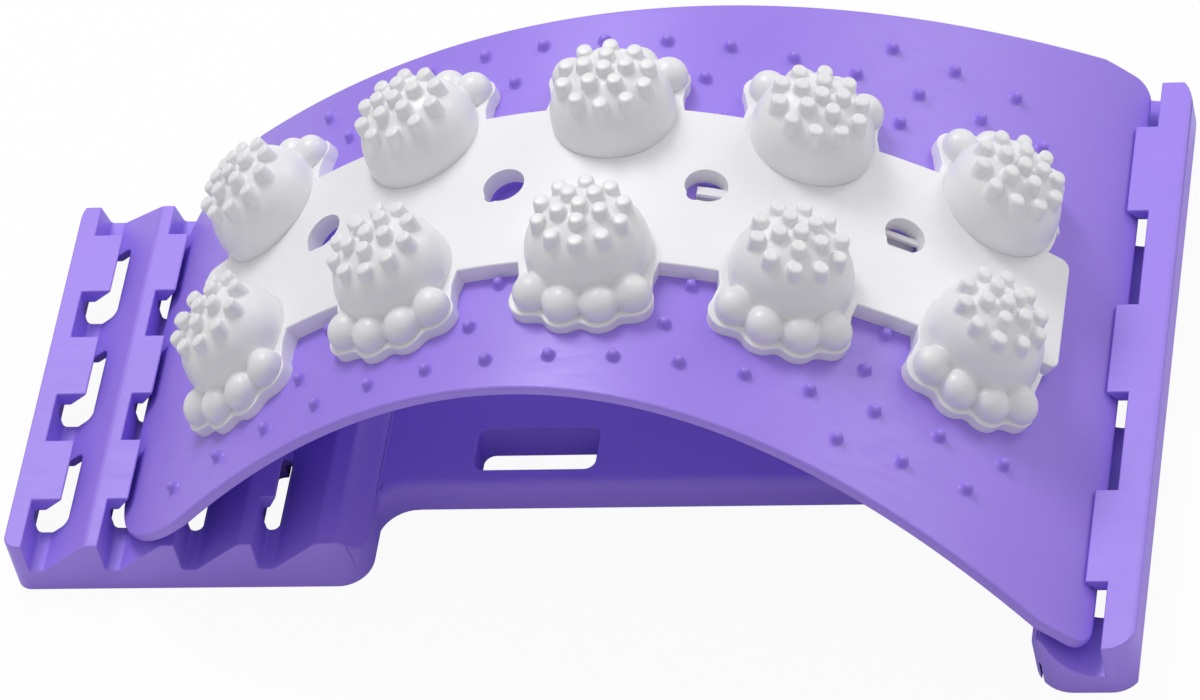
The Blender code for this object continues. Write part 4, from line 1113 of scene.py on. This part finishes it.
def head_mesh(side):
    """Dome, pegs and balls melted into one smooth moulding, with the stem joined on."""
    dome_profile = [(DOME_LENGTH, DOME_FOOT)]
    for k in range(24):
        turn = radians(88) * k / 23
        reach = DOME_LENGTH * cos(turn) ** (2 / DOME_FULLNESS)
        dome_profile.append((reach, DOME_HEIGHT * sin(turn) ** (2 / DOME_FULLNESS)))
    dome = turned("dome", dome_profile, 72)
    dome.data.transform(Matrix.Scale(DOME_WIDTH / DOME_LENGTH, 4, (0.0, 1.0, 0.0)))
    parts = [dome]
    for length, width, tip, count in PEG_RINGS:
        for k in range(count):
            turn = side * (pi / 2 + 2 * pi * k / count)
            parts.append(peg(length * cos(turn), width * sin(turn) - side * PEG_INSET, tip))
    for along, outward in BALL_PLACES:
        parts.append(ball(along, side * outward))
    web = [(along * WEB_SHARE, side * outward * WEB_SHARE) for along, outward in BALL_PLACES]
    web = [(web[0][0], 0.0)] + web + [(web[-1][0], 0.0)]
    parts.append(prism("web", web, DOME_FOOT, WEB_TOP))
    head = merge("head_blend", parts)
    melt = head.modifiers.new("melt", "REMESH")
    melt.mode = "VOXEL"
    melt.voxel_size = MELT_GRAIN
    ease = head.modifiers.new("ease", "SMOOTH")
    ease.factor = 0.5
    ease.iterations = 2
    graph = bpy.context.evaluated_depsgraph_get()
    made = bpy.data.meshes.new_from_object(head.evaluated_get(graph))
    bpy.data.objects.remove(head, do_unlink=True)
    stem = turned("stem", STEM_PROFILE, 40)
    shape = bmesh.new()
    shape.from_mesh(made)
    shape.from_mesh(stem.data)
    shape.to_mesh(made)
    shape.free()
    bpy.data.objects.remove(stem, do_unlink=True)
    made.shade_smooth()
    made.set_sharp_from_angle(angle=radians(50))
    return made


head_plastic = moulded_plastic(
    "white_head_plastic",
    colour=(0.83, 0.83, 0.85),
    cloud_colour=(0.81, 0.81, 0.83),
    roughness=0.34,
    grain_depth=0.03 * MM,
)
for side, side_name in ((-1, "near"), (1, "far")):
    moulding = head_mesh(side)
    moulding.name = "head_" + side_name
    moulding.materials.clear()
    moulding.materials.append(head_plastic)
    for number, (arc, lean) in enumerate(zip(HEAD_ARCS, HEAD_LEANS), start=1):
        leaning = moulding.copy()
        for vert in leaning.vertices:
            vert.co.x += max(vert.co.z, 0.0) * tan(radians(lean))
        head = bpy.data.objects.new("massage_head_%s_%d" % (side_name, number), leaning)
        bpy.context.scene.collection.objects.link(head)
        head.matrix_world = arch_frame(arc, side * HEAD_OFFSET, STRIP_TOP)
        seat(head, "arch", ["head_%s_%d" % (side_name, number)])


# Floor, lights and camera
# A white studio floor that keeps a faint shadow, a soft key light from the upper left, a
# weaker fill from the right and a pale sky. The camera looks down on the near side
# through a long lens.

FLOOR_SIZE = 6.0
FLOOR_GAP = 0.1 * MM
FLOOR_GLOW = 0.94
SKY_LOW = 0.28
SKY_HIGH = 0.74
LIGHT_TARGET = (0.0, 0.0, 0.05)

floor_mesh = bmesh.new()
bmesh.ops.create_grid(floor_mesh, x_segments=1, y_segments=1, size=FLOOR_SIZE)
floor = object_from("studio_floor", floor_mesh)
floor.location = (0.0, 0.0, cad_box[0][2] - FLOOR_GAP)
floor_paint, nodes, links, shader = shader_tree("white_floor")
shader.inputs["Base Color"].default_value = (0.9, 0.9, 0.9, 1.0)
shader.inputs["Roughness"].default_value = 0.9
paper = nodes.new("ShaderNodeTexNoise")
paper.inputs["Scale"].default_value = 180.0
paper_bump = nodes.new("ShaderNodeBump")
paper_bump.inputs["Strength"].default_value = 0.02
links.new(paper.outputs["Fac"], paper_bump.inputs["Height"])
links.new(paper_bump.outputs["Normal"], shader.inputs["Normal"])
glow = nodes.new("ShaderNodeEmission")
glow.inputs["Strength"].default_value = 1.0
blend = nodes.new("ShaderNodeMixShader")
rays = nodes.new("ShaderNodeLightPath")
share = nodes.new("ShaderNodeMath")
share.operation = "MULTIPLY"
share.inputs[1].default_value = FLOOR_GLOW
links.new(rays.outputs["Is Camera Ray"], share.inputs[0])
links.new(share.outputs["Value"], blend.inputs["Fac"])
links.new(shader.outputs["BSDF"], blend.inputs[1])
links.new(glow.outputs["Emission"], blend.inputs[2])
links.new(blend.outputs["Shader"], nodes["Material Output"].inputs["Surface"])
floor.data.materials.append(floor_paint)

# Sky, brighter from above, and white where the camera looks past the floor
world = bpy.data.worlds.new("studio")
bpy.context.scene.world = world
world.use_nodes = True
nodes = world.node_tree.nodes
links = world.node_tree.links
sky = nodes["Background"]
sky.inputs["Color"].default_value = (1.0, 1.0, 1.0, 1.0)
rays = nodes.new("ShaderNodeLightPath")
direction = nodes.new("ShaderNodeTexCoord")
height = nodes.new("ShaderNodeSeparateXYZ")
links.new(direction.outputs["Generated"], height.inputs["Vector"])
dome_light = nodes.new("ShaderNodeMapRange")
dome_light.inputs["To Min"].default_value = SKY_LOW
dome_light.inputs["To Max"].default_value = SKY_HIGH
links.new(height.outputs["Z"], dome_light.inputs["Value"])
level = nodes.new("ShaderNodeMapRange")
level.inputs["To Max"].default_value = 1.0
links.new(dome_light.outputs["Result"], level.inputs["To Min"])
links.new(rays.outputs["Is Camera Ray"], level.inputs["Value"])
links.new(level.outputs["Result"], sky.inputs["Strength"])


def soft_light(name, place, size, power):
    """A round soft light that faces the arch."""
    lamp = bpy.data.lights.new(name, "AREA")
    lamp.shape = "DISK"
    lamp.size = size
    lamp.energy = power
    made = bpy.data.objects.new(name, lamp)
    bpy.context.scene.collection.objects.link(made)
    made.location = place
    made.rotation_euler = (Vector(LIGHT_TARGET) - Vector(place)).to_track_quat("-Z", "Y").to_euler()


soft_light("key", place=(-0.45, 0.85, 1.68), size=0.7, power=14.2)
soft_light("fill", place=(1.163, 1.163, 1.0), size=0.9, power=5.2)

camera_data = bpy.data.cameras.new("long_lens")
camera_data.sensor_width = 36.0
camera_data.lens = 207.22
camera_data.clip_end = 20.0
camera = bpy.data.objects.new("camera", camera_data)
bpy.context.scene.collection.objects.link(camera)
camera.location = (0.506378, -1.457520, 1.704617)
camera.rotation_euler = (radians(41.5436), radians(10.2570), radians(7.7223))
bpy.context.scene.camera = camera
bpy.context.scene.view_settings.view_transform = "Standard"
